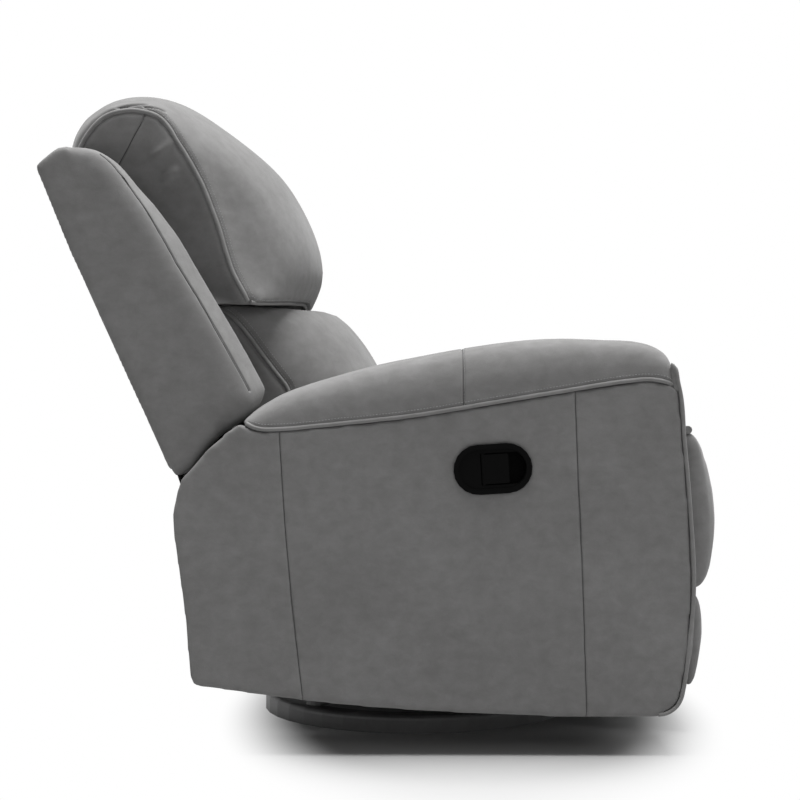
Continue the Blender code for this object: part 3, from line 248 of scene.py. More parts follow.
# %% Suede
def suede(name, level=0.196):
    material, shader, place = start_material(
        name, Specular_IOR_Level=0.12, Sheen_Weight=0.22, Sheen_Roughness=0.45, Sheen_Tint=grey(0.85))
    stretched = place.node("ShaderNodeMapping", {"Vector": place, "Scale": (1.0, 0.7, 1.0)})
    clouds = stretched.noise(8.0, 3.0, 0.55, 0.5)
    flecks = stretched.noise(58.0, 5.0, 0.60, 0.25)
    nap = place.noise(620.0, 3.0, 0.6)
    tone = 0.35 * clouds + 0.50 * flecks + 0.15 * nap
    spread = tone.ramp((0.34, 0.0), (0.66, 1.0))
    plug(shader, Base_Color=spread.mix(grey(level * 0.84, 0.012), grey(level * 1.14, 0.006)),
         Roughness=0.80 + 0.12 * nap,
         Normal=(nap + 0.6 * flecks).bump(0.32, 0.0006))
    return material


COVER = suede("grey_suede")
# The piping copy is a little lighter than the cover, which is a painted highlight on the cords.
PIPING_HIGHLIGHT = suede("grey_suede_piping_painted_highlight", 0.215)
# The inside copy is darker than the cover, which is painted shade for cloth in the chair's recesses.
SHADED = suede("grey_suede_painted_shade", 0.120)
# The crease copy is the darkest, which is painted shade for the thin cords in seams and folds.
SHADE_LINE_SUEDE = suede("grey_suede_painted_shade_line", 0.070)
print("suede", [m.name for m in (COVER, PIPING_HIGHLIGHT, SHADED, SHADE_LINE_SUEDE)])

# %% [markdown]
# ## The solids that stay
# The base, the swivel, the rocker, the footrest linkage and the timber keep their CAD solids. Each finish
# has what the real one shows: powder coat has a fine orange peel, zinc a patchy bright grey with drag
# marks, spring steel an oily black, pine its grain, and the handle a moulded grain. The timber that can be
# seen between the cushions is wrapped in cover cloth, as is done before the cushions go on, and that cloth is
# the darker suede, whose darkness is painted shade.

# %% Finishes
def powder_coat():
    material, shader, place = start_material("grey_powder_coat", Coat_Roughness=0.3, Coat_Weight=0.08)
    peel, wear = place.noise(420.0, 2.0), place.noise(24.0, 5.0, 0.65)
    plug(shader, Base_Color=wear.ramp((0.30, 0.0), (0.72, 1.0)).mix(grey(0.075), grey(0.105)),
         Roughness=0.42 + 0.18 * wear, Normal=peel.bump(0.18, 0.0004))
    return material


def zinc():
    material, shader, place = start_material("zinc_plate", Metallic=1.0)
    drag = place.node("ShaderNodeMapping", {"Vector": place, "Scale": (900.0, 40.0, 900.0)})
    lines, patches = drag.noise(1.0, 3.0, 0.6), place.noise(60.0, 4.0, 0.6)
    plug(shader, Base_Color=patches.mix(grey(0.38), grey(0.56)), Roughness=0.28 + 0.25 * patches,
         Normal=lines.bump(0.10, 0.0003))
    return material


def oiled_steel():
    material, shader, place = start_material("black_steel", Metallic=0.6)
    stain, pits = place.noise(35.0, 5.0, 0.6), place.noise(500.0, 2.0)
    plug(shader, Base_Color=stain.mix(grey(0.018), grey(0.050)), Roughness=0.34 + 0.25 * stain,
         Normal=pits.bump(0.15, 0.0003))
    return material


def planed_pine():
    material, shader, place = start_material("planed_pine", Specular_IOR_Level=0.3)
    grain = place.node("ShaderNodeMapping", {"Vector": place, "Scale": (3.0, 14.0, 14.0)})
    rings = grain.node("ShaderNodeTexWave", {"Vector": grain, "Scale": 3.2, "Distortion": 5.0, "Detail": 3.0,
                                             "Detail Scale": 1.6},
                       {"wave_type": "BANDS", "bands_direction": "Z"}, "Fac")
    fibre = place.node("ShaderNodeMapping", {"Vector": place, "Scale": (30.0, 700.0, 700.0)}).noise(1.0, 3.0)
    tone = 0.75 * rings + 0.25 * fibre
    plug(shader, Base_Color=tone.mix((0.56, 0.39, 0.21, 1.0), (0.40, 0.24, 0.11, 1.0)),
         Roughness=0.55 + 0.2 * fibre, Normal=fibre.bump(0.15, 0.0004))
    return material


def moulded_plastic():
    material, shader, place = start_material("black_plastic", Specular_IOR_Level=0.03)
    grain, smears = place.noise(800.0, 2.0), place.noise(30.0, 4.0)
    plug(shader, Base_Color=smears.mix(grey(0.0022), grey(0.0042)), Roughness=0.48 + 0.16 * smears,
         Normal=grain.bump(0.22, 0.0003))
    return material


# Every CAD part with the suede slot, and the wrapped timber, gets the darker suede, which is painted shade.
FINISHES = {"suede": SHADED, "grey_paint": powder_coat(), "zinc_steel": zinc(), "black_steel": oiled_steel(),
            "pine": planed_pine(), "black_plastic": moulded_plastic()}
WRAPPED = ("back_post_left", "back_post_right", "back_rail_top", "back_rail_bottom", "seat_rail_left",
           "seat_rail_right", "seat_rail_front", "footrest_board")
for part in frame["record"]["subparts"]:
    slots = frame["nodes"][part["node"]].data.materials
    slots.clear()
    slots.append(SHADED if part["node"] in WRAPPED else FINISHES[part["material_slot"]])

# %% [markdown]
# ## Helpers for sewn pieces
# Each soft piece starts as a welded copy of its CAD solid. A voxel remesh gives it an even skin, smoothing
# rounds its edges as padding does, cloth simulation under air pressure fills it, and only then are seams
# pressed in, because a remesh would rub them out.

# %% Copies of the CAD solids
SWIVEL_Y = -0.040


def welded(node):
    shape = bmesh.new()
    shape.from_mesh(frame["nodes"][node].data)
    bmesh.ops.remove_doubles(shape, verts=shape.verts, dist=1e-5)
    return shape


def as_object(name, shape, material=COVER):
    mesh = bpy.data.meshes.new(name)
    for face in shape.faces:
        face.smooth = True
    shape.to_mesh(mesh)
    shape.free()
    mesh.materials.append(material)
    piece = bpy.data.objects.new(name, mesh)
    scene.collection.objects.link(piece)
    return piece


def bake(piece):
    graph = bpy.context.evaluated_depsgraph_get()
    made = bpy.data.meshes.new_from_object(piece.evaluated_get(graph))
    made.name = piece.name
    piece.modifiers.clear()
    old, piece.data = piece.data, made
    bpy.data.meshes.remove(old)
    made.polygons.foreach_set("use_smooth", [True] * len(made.polygons))


def soften(piece, rounds, chosen=None):
    shape = bmesh.new()
    shape.from_mesh(piece.data)
    verts = [v for v in shape.verts if chosen is None or chosen[v.index]]
    for _ in range(rounds):
        bmesh.ops.smooth_vert(shape, verts=verts, factor=0.5,
                              use_axis_x=True, use_axis_y=True, use_axis_z=True)
    shape.to_mesh(piece.data)
    shape.free()


def skin(name, node, voxel, rounds, slack, spreads=(0,)):
    piece = as_object(name, welded(node))
    remesh = piece.modifiers.new("skin", "REMESH")
    remesh.mode, remesh.voxel_size = "VOXEL", voxel
    bake(piece)
    soften(piece, rounds)
    keep_within(piece, node, slack, 0.0, spreads)
    soften(piece, 1)
    return piece


# %% [markdown]
# ### Points as one array
# Moving points one by one is slow, so a piece's points and normals are read into one array, changed
# together and written back. `even_out` spreads a move over neighbours, `keep_within` holds a cover near the
# solid that it stands for, and `part_way` says how far a value has gone from a start to an end.

# %% Points and their normals
def points_of(piece):
    points = np.empty(len(piece.data.vertices) * 3, np.float32)
    piece.data.vertices.foreach_get("co", points)
    return points.reshape(-1, 3).astype(float)


def normals_of(piece):
    normals = np.empty(len(piece.data.vertices) * 3, np.float32)
    piece.data.vertex_normals.foreach_get("vector", normals)
    return normals.reshape(-1, 3).astype(float)


def move_to(piece, points):
    piece.data.vertices.foreach_set("co", points.astype(np.float32).ravel())
    piece.data.update()


def even_out(piece, values, rounds):
    ends = np.empty(len(piece.data.edges) * 2, np.int32)
    piece.data.edges.foreach_get("vertices", ends)
    first, second = ends.reshape(-1, 2).T
    share = 1.0 / (np.bincount(ends, minlength=len(values)) + 1.0)
    for _ in range(rounds):
        total = values.copy()
        np.add.at(total, first, values[second])
        np.add.at(total, second, values[first])
        values = total * share[:, None]
    return values


def part_way(values, start, end):
    return np.clip((values - start) / (end - start), 0.0, 1.0)


def keep_within(piece, node, slack, proud, spreads):
    solid = welded(node)
    tree = BVHTree.FromBMesh(solid)
    for spread in spreads:
        points = points_of(piece)
        excess = np.zeros_like(points)
        for i, point in enumerate(points):
            near, normal, _, _ = tree.find_nearest(point)
            over = (Vector(point) - near).dot(normal)
            excess[i] = normal * (over - max(-slack, min(proud, over)))
        move_to(piece, points - even_out(piece, excess, spread))
    solid.free()


# %% [markdown]
# ## Filling a cover
# The cloth simulation blows the cover up like a balloon while the sewn lines are pinned. The way it goes is
# evened out and scaled, so that foam and not air seems to fill it, and the solid it stands for keeps it off
# its neighbours. Where it is held back, the push is spread over the cloth, so that no facet prints through.


# %% Swell
PRESSURE, STEPS = 4.0, 20


def swell(piece, node, pinned, shrink, slack, proud):
    rest = points_of(piece) - shrink * normals_of(piece)
    move_to(piece, rest)
    moved = rest.copy()
    group = piece.vertex_groups.new(name="sewn")
    group.add([int(i) for i in np.flatnonzero(pinned)], 1.0, "REPLACE")
    cloth = piece.modifiers.new("filling", "CLOTH")
    cloth.settings.use_pressure = True
    cloth.settings.uniform_pressure_force = PRESSURE
    cloth.settings.effector_weights.gravity = 0.0
    cloth.settings.vertex_group_mass = "sewn"
    cloth.settings.quality = 4
    cloth.point_cache.frame_end = STEPS
    for step in range(1, STEPS + 1):
        scene.frame_set(step)
    graph = bpy.context.evaluated_depsgraph_get()
    held = piece.evaluated_get(graph)
    moved = np.array([v.co for v in held.data.vertices], float)
    piece.modifiers.clear()
    piece.vertex_groups.clear()
    scene.frame_set(1)
    step = even_out(piece, moved - rest, 20)
    far = np.linalg.norm(step, axis=1)
    step *= min(1.0, (shrink + proud) / max(float(np.percentile(far, 90)), 1e-9))
    move_to(piece, rest + step)
    keep_within(piece, node, slack, proud, (6, 5, 4))
    soften(piece, 6)
    keep_within(piece, node, slack, proud + 0.003, (4, 3, 2))
    soften(piece, 1)
    grown = np.linalg.norm(points_of(piece) - rest, axis=1)
    print(piece.name, len(rest), "points, swelled up to", round(float(grown.max()) * 1000, 1), "mm")


def iron(piece, rounds, chosen):
    before = points_of(piece)
    soften(piece, rounds, chosen)
    after = points_of(piece)
    move_to(piece, after + even_out(piece, before - after, 2 * rounds))


def refine(piece):
    finer = piece.modifiers.new("finer", "SUBSURF")
    finer.levels = finer.render_levels = 1
    bake(piece)


# %% [markdown]
# ## Lines of thread
# A seam is a line on the cover. The helpers below draw a smooth line through a few points, lay it on the
# finished cover, press the cover in along it, pucker the cover beside it, and put a piping cord or a row of
# stitches on it.


# %% Seam lines
def line(points, step=0.004):
    points = np.array(points, float)
    chord = np.r_[0.0, np.cumsum(np.linalg.norm(np.diff(points, axis=0), axis=1))]
    slope = np.gradient(points, chord, axis=0)
    fine = np.linspace(0.0, chord[-1], 50 * len(points))
    i = np.clip(np.searchsorted(chord, fine, side="right") - 1, 0, len(points) - 2)
    span = (chord[i + 1] - chord[i])[:, None]
    t = (fine - chord[i])[:, None] / span
    dense = ((1 + 2 * t) * (1 - t) ** 2 * points[i] + t * (1 - t) ** 2 * span * slope[i]
             + t * t * (3 - 2 * t) * points[i + 1] + t * t * (t - 1) * span * slope[i + 1])
    return evenly(dense, step)


def evenly(dense, step):
    length = np.r_[0.0, np.cumsum(np.linalg.norm(np.diff(dense, axis=0), axis=1))]
    even = np.linspace(0.0, length[-1], max(3, round(length[-1] / step) + 1))
    return np.column_stack([np.interp(even, length, dense[:, k]) for k in range(3)])


def side_line(x, outline, step=0.004):
    return line([(x, y + SWIVEL_Y, z) for y, z in outline], step)


def lay(points, piece):
    graph = bpy.context.evaluated_depsgraph_get()
    tree = BVHTree.FromObject(piece, graph)
    found = [tree.find_nearest(p) for p in points]
    return np.array([f[0] for f in found]), np.array([f[1] for f in found])


def edge_line(piece, half_width, toward, step=0.004):
    points = points_of(piece)
    found = []
    for x in np.linspace(-half_width, half_width, 60):
        band = points[np.abs(points[:, 0] - x) < 0.008]
        found.append(band[np.argmax(band @ np.array(toward))])
    return evenly(settle(np.array(found)), step)


def settle(points, rounds=10):
    points = points.copy()
    for _ in range(rounds):
        points[1:-1] = 0.25 * points[:-2] + 0.5 * points[1:-1] + 0.25 * points[2:]
    return points


def near_line(points, path):
    tree = KDTree(len(path))
    for i, p in enumerate(path):
        tree.insert(p, i)
    tree.balance()
    found = [tree.find(p) for p in points]
    return np.array([f[2] for f in found]), np.array([f[1] for f in found])


# %% [markdown]
# ### Pulling the cover in
# Thread pulls cloth in along a seam, and the cloth beside it puckers. `press` makes a soft valley, `groove`
# cuts the faces finer first and makes a crisp one, `pucker` adds small waves, and `uneven` the slow waves of
# hand work.

# %% Press, pucker and unevenness
def press(piece, path, depth, width, fade=False):
    points = points_of(piece)
    gap, index = near_line(points, path)
    ends = np.sin(math.pi * index / (len(path) - 1)) if fade else 1.0
    move_to(piece, points - (depth * ends * np.exp(-(gap / width) ** 2))[:, None] * normals_of(piece))


def groove(piece, path, depth=0.0026, width=0.0017, band=0.0065, fade=False):
    path, _ = lay(path, piece)
    path = evenly(path, 0.0008)
    gap, _ = near_line(points_of(piece), path)
    shape = bmesh.new()
    shape.from_mesh(piece.data)
    edges = [e for e in shape.edges if max(gap[v.index] for v in e.verts) < band]
    bmesh.ops.subdivide_edges(shape, edges=edges, cuts=3, use_grid_fill=True)
    shape.to_mesh(piece.data)
    shape.free()
    piece.data.polygons.foreach_set("use_smooth", [True] * len(piece.data.polygons))
    press(piece, path, depth, width, fade)


def pucker(piece, path, height, wave, reach, step=0.004):
    points = points_of(piece)
    gap, index = near_line(points, path)
    run = index * step
    drift = np.array([noise.noise(Vector((r * 9.0, 3.7, wave * 50.0))) for r in run])
    ridge = np.sin(2 * math.pi * run / wave + 5.0 * drift) * (0.5 + drift)
    fade = np.exp(-gap / reach) * (1.0 - np.exp(-(gap / 0.006) ** 2))
    move_to(piece, points + (height * ridge * fade)[:, None] * normals_of(piece))


def uneven(piece, height, scale):
    points = points_of(piece)
    lift = np.array([noise.noise(Vector(p) * scale) for p in points])
    move_to(piece, points + (height * lift)[:, None] * normals_of(piece))


# %% [markdown]
# ### Cords and stitches
# Piping is a cord in a strip of the cover, so it is a bevelled curve laid on the seam. Each stitch is a tiny
# flattened ball with few faces, because there are thousands.

# %% Piping and stitches
# Cords take the lighter piping suede by default, which is a painted highlight.
def cord_mesh(name, path, radius, material=PIPING_HIGHLIGHT):
    curve = bpy.data.curves.new(name, "CURVE")
    curve.dimensions, curve.bevel_depth, curve.bevel_resolution = "3D", radius, 3
    curve.use_fill_caps = True
    spline = curve.splines.new("POLY")
    spline.points.add(len(path) - 1)
    spline.points.foreach_set("co", np.column_stack([path, np.ones(len(path))]).ravel())
    holder = bpy.data.objects.new(name, curve)
    scene.collection.objects.link(holder)
    graph = bpy.context.evaluated_depsgraph_get()
    mesh = bpy.data.meshes.new_from_object(holder.evaluated_get(graph))
    bpy.data.objects.remove(holder)
    shape = bmesh.new()
    shape.from_mesh(mesh)
    bpy.data.meshes.remove(mesh)
    return as_object(name, shape, material)


def piping(name, path, piece, radius, body, sink=0.35):
    ground, up = lay(path, piece)
    track = settle(ground + up * radius * (1.0 - 2.0 * sink))
    cord = cord_mesh(name, track, radius)
    dress(cord, body)
    return cord


def stitch_row(shape, path, piece, shift, toward, pitch=0.0048):
    ground, up = lay(path, piece)
    along = np.gradient(ground, axis=0)
    aside = np.cross(along, up)
    aside *= np.sign(aside @ np.array(toward) + 1e-12)[:, None]
    aside /= np.maximum(np.linalg.norm(aside, axis=1), 1e-9)[:, None]
    ground, up = lay(evenly(settle(ground + aside * shift), pitch / 2), piece)
    for i in range(1, len(ground) - 1, 2):
        x = Vector(ground[i + 1] - ground[i - 1]).normalized()
        y = Vector(up[i]).cross(x).normalized()
        turn = Matrix((x, y, x.cross(y))).transposed().to_4x4()
        spot = Matrix.Translation(Vector(ground[i] + up[i] * 0.0001))
        bmesh.ops.create_uvsphere(shape, u_segments=6, v_segments=4, radius=1.0,
                                  matrix=spot @ turn @ Matrix.Diagonal((0.0017, 0.0005, 0.0004, 1.0)))


def dress(piece, body, nodes=()):
    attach(piece, body)
    if nodes:
        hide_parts(*nodes)


# %% [markdown]
# ### Thread and shadow lines
# The stitches of one body are gathered and become one piece at the end. A seam without piping shows as a
# thin dark line, which is painted shade: a fine dark cord laid in the groove.

# %% Thread
def thread_finish():
    material, shader, place = start_material("grey_thread", Roughness=0.55, Sheen_Weight=0.2)
    twist = place.noise(900.0, 2.0)
    plug(shader, Base_Color=twist.mix(grey(0.20), grey(0.33)), Normal=twist.bump(0.3, 0.0003))
    return material


THREAD = thread_finish()
threads = {}


def sew(body, path, piece, shift, toward):
    row = bmesh.new()
    stitch_row(row, path, piece, shift, toward)
    mesh = bpy.data.meshes.new("row")
    row.to_mesh(mesh)
    row.free()
    threads.setdefault(body, []).append(mesh)


painted_shade_lines = {}


# A thin dark cord of painted shade, laid along a seam or fold.
def shade(body, path, piece, radius=0.0006):
    ground, up = lay(path, piece)
    cord = cord_mesh("painted_shade_line", settle(ground + up * 0.0002), radius)
    painted_shade_lines.setdefault(body, []).append(cord.data)
    bpy.data.objects.remove(cord)


def mirrored(piece, name):
    shape = bmesh.new()
    shape.from_mesh(piece.data)
    bmesh.ops.scale(shape, vec=(-1.0, 1.0, 1.0), verts=shape.verts)
    bmesh.ops.reverse_faces(shape, faces=shape.faces)
    return as_object(name, shape, piece.data.materials[0])


# %% [markdown]
# ## The headrest pillow
# The biggest cushion: a fat crowned panel between two flat side gussets, with a piping cord round each
# gusset and double stitching beside it. The panel bulges most a third of the way up and rolls back over the
# top. It is simulated with the gusset edges pinned, as if they were already sewn.

# %% Pillow outlines
LEAN = math.radians(23.2)
BACK_OUT = np.array([0.0, -math.cos(LEAN), math.sin(LEAN)])
BACK_UP = np.array([0.0, math.sin(LEAN), math.cos(LEAN)])
PILLOW_X = 0.315
PILLOW_EDGE = [(0.2600, 0.6875), (0.2735, 0.7085), (0.289, 0.7365), (0.311, 0.805), (0.337, 0.873),
               (0.370, 0.933), (0.408, 0.984), (0.445, 0.992), (0.485, 0.986), (0.515, 0.960), (0.530, 0.935),
               (0.540, 0.905)]
GUSSET_DEPTH, GUSSET_REACH = 0.022, 0.030
GUSSET_TOP, GUSSET_LEAST = (0.960, 0.840), 0.15
BELLY, BELLY_Z = ((0.0, 0.008), (0.315, -0.007)), (0.760, 0.700)
SEWN_REACH = 0.013
pillow = skin("headrest_cushion", "headrest_pillow", 0.0079, 10, 0.001, (8, 5, 3))
edges = [side_line(x, PILLOW_EDGE) for x in (-PILLOW_X, PILLOW_X)]
bottom_seam = line([(x, y + SWIVEL_Y, 0.693) for x, y in (
    (-0.315, 0.2615), (-0.20, 0.206), (0.0, 0.188), (0.20, 0.206), (0.315, 0.2615))])
points, normals = points_of(pillow), normals_of(pillow)
sewn = (normals @ BACK_OUT < -0.4) | (normals[:, 2] < -0.6)
for seam in (*edges, bottom_seam):
    sewn |= near_line(points, seam)[0] < SEWN_REACH
swell(pillow, "headrest_pillow", sewn, shrink=0.003, slack=0.0012, proud=0.005)
iron(pillow, 60, ~sewn)
points, normals = points_of(pillow), normals_of(pillow)
gap = np.minimum(near_line(points, edges[0])[0], near_line(points, edges[1])[0])
flank = part_way(np.abs(normals[:, 0]), 0.5, 0.9)
flank *= np.maximum(part_way(points[:, 2], *GUSSET_TOP), GUSSET_LEAST)
points[:, 0] -= np.sign(points[:, 0]) * GUSSET_DEPTH * flank * (1.0 - np.exp(-gap / GUSSET_REACH))
low = part_way(points[:, 2], *BELLY_Z)
points[:, 2] += low * np.interp(np.abs(points[:, 0]), *zip(*BELLY))
move_to(pillow, points)
soften(pillow, 1)
refine(pillow)

# %% [markdown]
# The seams come after the filling. The lower hem is found on the filled cover itself, as its lowest front
# edge. A few folds at the top of the gusset show how the crown's cloth is eased round the corner.

# %% Pillow seams
GUSSET_SEAM = [(0.4259, 0.9834), (0.4622, 0.9203), (0.510, 0.840)]
GUSSET_FOLDS = [[(0.382, 0.944), (0.400, 0.929), (0.421, 0.916)],
                [(0.372, 0.905), (0.388, 0.891), (0.405, 0.880)]]
CROWN_FOLDS = [[(0.309, 0.476, 0.994), (0.306, 0.458, 0.998), (0.302, 0.440, 1.001), (0.294, 0.422, 1.005)],
               [(0.309, 0.434, 0.999), (0.304, 0.414, 0.998), (0.296, 0.394, 0.990)]]
hem = edge_line(pillow, PILLOW_X - 0.002, (0.0, -0.25, -0.97))
for seam in (*edges, hem):
    press(pillow, seam, 0.0040, 0.007)
    pucker(pillow, seam, 0.0005, 0.042, 0.026)
uneven(pillow, 0.0004, 8.0)
for side, seam, sign in (("right", edges[0], -1.0), ("left", edges[1], 1.0)):
    for fold in GUSSET_FOLDS:
        path, _ = lay(side_line(sign * 0.300, fold, 0.002), pillow)
        press(pillow, path, -0.006, 0.006, True)
    for fold in CROWN_FOLDS:
        path, _ = lay(line([(sign * x, y + SWIVEL_Y, z) for x, y, z in fold], 0.002), pillow)
        groove(pillow, path, 0.0085, 0.0034, 0.011, True)
        # A wider dark cord of painted shade lies in the bottom of each crown fold.
        shade("back", path[len(path) // 6:-len(path) // 6], pillow, 0.0011)
    gusset_seam = side_line(sign * 0.300, GUSSET_SEAM, 0.002)
    groove(pillow, gusset_seam)
    # A thin dark cord of painted shade lies in the gusset seam.
    shade("back", gusset_seam, pillow)
    piping("headrest_piping_" + side, seam, pillow, 0.0038, "back")
    for shift in (0.0070, 0.0130):
        sew("back", seam[2:-40], pillow, shift, (-sign, -0.5, 0.3))
piping("headrest_piping_bottom", hem, pillow, 0.0036, "back", 0.2)
sew("back", hem, pillow, 0.010, (0.0, 0.0, 1.0))
dress(pillow, "back", ["headrest_pillow"])
print("pillow", len(pillow.data.polygons), "faces")

# %% [markdown]
# ## The lumbar cushion
# Below the pillow a second cushion fills the small of the back. Its front is one crowned panel, piped and
# double stitched along each side, and its lower edge goes down behind the seat.

# %% Lumbar
LUMBAR_X = 0.262
LUMBAR_EDGE = [(0.212, 0.497), (0.205, 0.525), (0.204, 0.551), (0.222, 0.575), (0.247, 0.607), (0.271, 0.640),
               (0.300, 0.672), (0.325, 0.688)]
lumbar = skin("lumbar_pad", "lumbar_cushion", 0.0065, 10, 0.001, (8, 5, 3))
edges = [side_line(x, LUMBAR_EDGE) for x in (-LUMBAR_X, LUMBAR_X)]
points, normals = points_of(lumbar), normals_of(lumbar)
sewn = (normals @ BACK_OUT < -0.4) | (normals[:, 2] < -0.6) | (normals[:, 2] > 0.9)
for seam in edges:
    sewn |= near_line(points, seam)[0] < 0.012
swell(lumbar, "lumbar_cushion", sewn, shrink=0.003, slack=0.0012, proud=0.005)
iron(lumbar, 40, ~sewn)
refine(lumbar)
for seam in edges:
    press(lumbar, seam, 0.004, 0.008)
    pucker(lumbar, seam, 0.0006, 0.038, 0.024)
uneven(lumbar, 0.0005, 9.0)
for side, seam, sign in (("right", edges[0], -1.0), ("left", edges[1], 1.0)):
    piping("lumbar_piping_" + side, seam, lumbar, 0.0034, "back")
    for shift in (0.0070, 0.0130):
        sew("back", seam, lumbar, shift, (-sign, -0.5, 0.0))
dress(lumbar, "back", ["lumbar_cushion"])

# %% [markdown]
# ## The seat
# The seat cushion lies between the arms on its springs. Its top is crowned from side to side and its front
# edge rolls over the seat rail down to the footrest.

# %% Seat
seat = skin("seat_pad", "seat_cushion", 0.007, 8, 0.001, (6, 4, 2))
swell(seat, "seat_cushion", normals_of(seat)[:, 2] < -0.5, shrink=0.003, slack=0.002, proud=0.002)
refine(seat)
uneven(seat, 0.0018, 8.0)
dress(seat, "frame", ["seat_cushion"])

# %% [markdown]
# ## The footrest pads
# Two fat rolls cover the footrest board, with a deep crease between them. A piping cord runs along the top
# of the upper one, where its cover turns back to the board.

# %% Footrest pads
TOP_RISE = 0.0125
RIM = [(x, -0.4360 + SWIVEL_Y, 0.4870) for x in (-0.258, -0.1, 0.1, 0.258)]
for part in ("upper", "lower"):
    node = "footrest_pad_" + part
    roll = skin("footrest_roll_" + part, node, 0.006, 6, 0.001, (5, 3, 2))
    swell(roll, node, normals_of(roll)[:, 1] > 0.5, shrink=0.002, slack=0.001, proud=0.003)
    points = points_of(roll)
    points[:, 2] += TOP_RISE * part_way(points[:, 2], 0.440, 0.470)
    move_to(roll, points)
    refine(roll)
    uneven(roll, 0.0012, 11.0)
    dress(roll, "footrest", [node])
dress(cord_mesh("footrest_piping", line(RIM), 0.0066), "footrest")

# %% [markdown]
# ## The arms
# Each arm is a box of panels under a padded top. The top is a sleeve filled with foam, sewn to the panels
# along a welt that rises to the front, with a cross seam a third of the way from the back.

# %% Arm tops
ARM_X = 0.430
WELT = [(-0.3925, 0.5455), (-0.3880, 0.5525), (-0.376, 0.5605), (-0.350, 0.565), (-0.317, 0.5625),
        (-0.203, 0.545), (-0.071, 0.523), (0.026, 0.508), (0.110, 0.499), (0.208, 0.490), (0.240, 0.490),
        (0.2615, 0.4985)]
CROSS_Y = -0.0696
FRONT_RISE = 0.004
top = skin("arm_top_right", "arm_pad_right", 0.0055, 5, 0.0008, (3, 2, 1))
points, normals = points_of(top), normals_of(top)
welt_outer = side_line(-ARM_X, WELT)
welt_inner = side_line(-0.270, WELT)
sewn = normals[:, 2] < -0.5
for seam in (welt_outer, welt_inner):
    sewn |= near_line(points, seam)[0] < 0.010
swell(top, "arm_pad_right", sewn, shrink=0.0015, slack=0.0008, proud=0.003)
points = points_of(top)
rise = np.exp(-((points[:, 1] - SWIVEL_Y + 0.345) / 0.035) ** 2)
points[:, 2] += FRONT_RISE * rise * part_way(points[:, 2], 0.570, 0.610)
move_to(top, points)
refine(top)
cross = line([(x, CROSS_Y + SWIVEL_Y, z) for x, z in ((-0.430, 0.525), (-0.432, 0.56), (-0.40, 0.605),
                                                     (-0.35, 0.618), (-0.30, 0.605), (-0.268, 0.56),
                                                     (-0.270, 0.525))])
cross, _ = lay(cross, top)
groove(top, cross)
press(top, welt_outer, 0.0015, 0.006)
uneven(top, 0.0012, 11.0)
top_left = mirrored(top, "arm_top_left")
for piece, side, sign in ((top, "right", 1.0), (top_left, "left", -1.0)):
    flip = np.array([sign, 1.0, 1.0])
    dress(piece, "frame", ["arm_pad_" + side])
    piping("arm_welt_" + side, welt_outer * flip, piece, 0.0034, "frame", 0.4)
    # A thin dark cord of painted shade lies in the cross seam.
    shade("frame", cross * flip, piece)
    for shift in (0.004, 0.008):
        sew("frame", cross * flip, piece, shift, (0.0, -1.0, 0.0))
    sew("frame", welt_outer * flip, piece, 0.0085, (0.0, 0.0, 1.0))

# %% [markdown]
# The outer panel is three pieces of cloth with two upright seams. The front panel is a shallow cap that
# stands a little before the others, with piping round its edge, and its lower corner is rounded.

# %% Arm panels
REAR_SEAM = [(0.2079, 0.487), (0.1974, 0.328), (0.1869, 0.2155), (0.1719, 0.0835)]
FRONT_SEAM = [(-0.2361, 0.5485), (-0.2406, 0.430), (-0.2466, 0.295), (-0.2541, 0.058)]
TUCK = 0.004
PANEL_TOP, PANEL_RISE = 0.480, 0.0022
FRONT_EDGE = [(-0.3615, 0.0625), (-0.3725, 0.0642), (-0.3829, 0.0695), (-0.3912, 0.0778), (-0.3964, 0.0882),
              (-0.3990, 0.0995), (-0.4080, 0.167), (-0.4144, 0.235), (-0.4084, 0.385), (-0.4008, 0.475),
              (-0.3948, 0.546), (-0.3913, 0.562), (-0.3885, 0.577), (-0.3840, 0.586), (-0.3800, 0.5885)]
CORD_R = 0.0031
CAP_DEPTH, CAP_RISE = 0.007, 0.0045
CORNER, CORNER_TURN = np.array([-0.361 + SWIVEL_Y, 0.0995]), 18.0
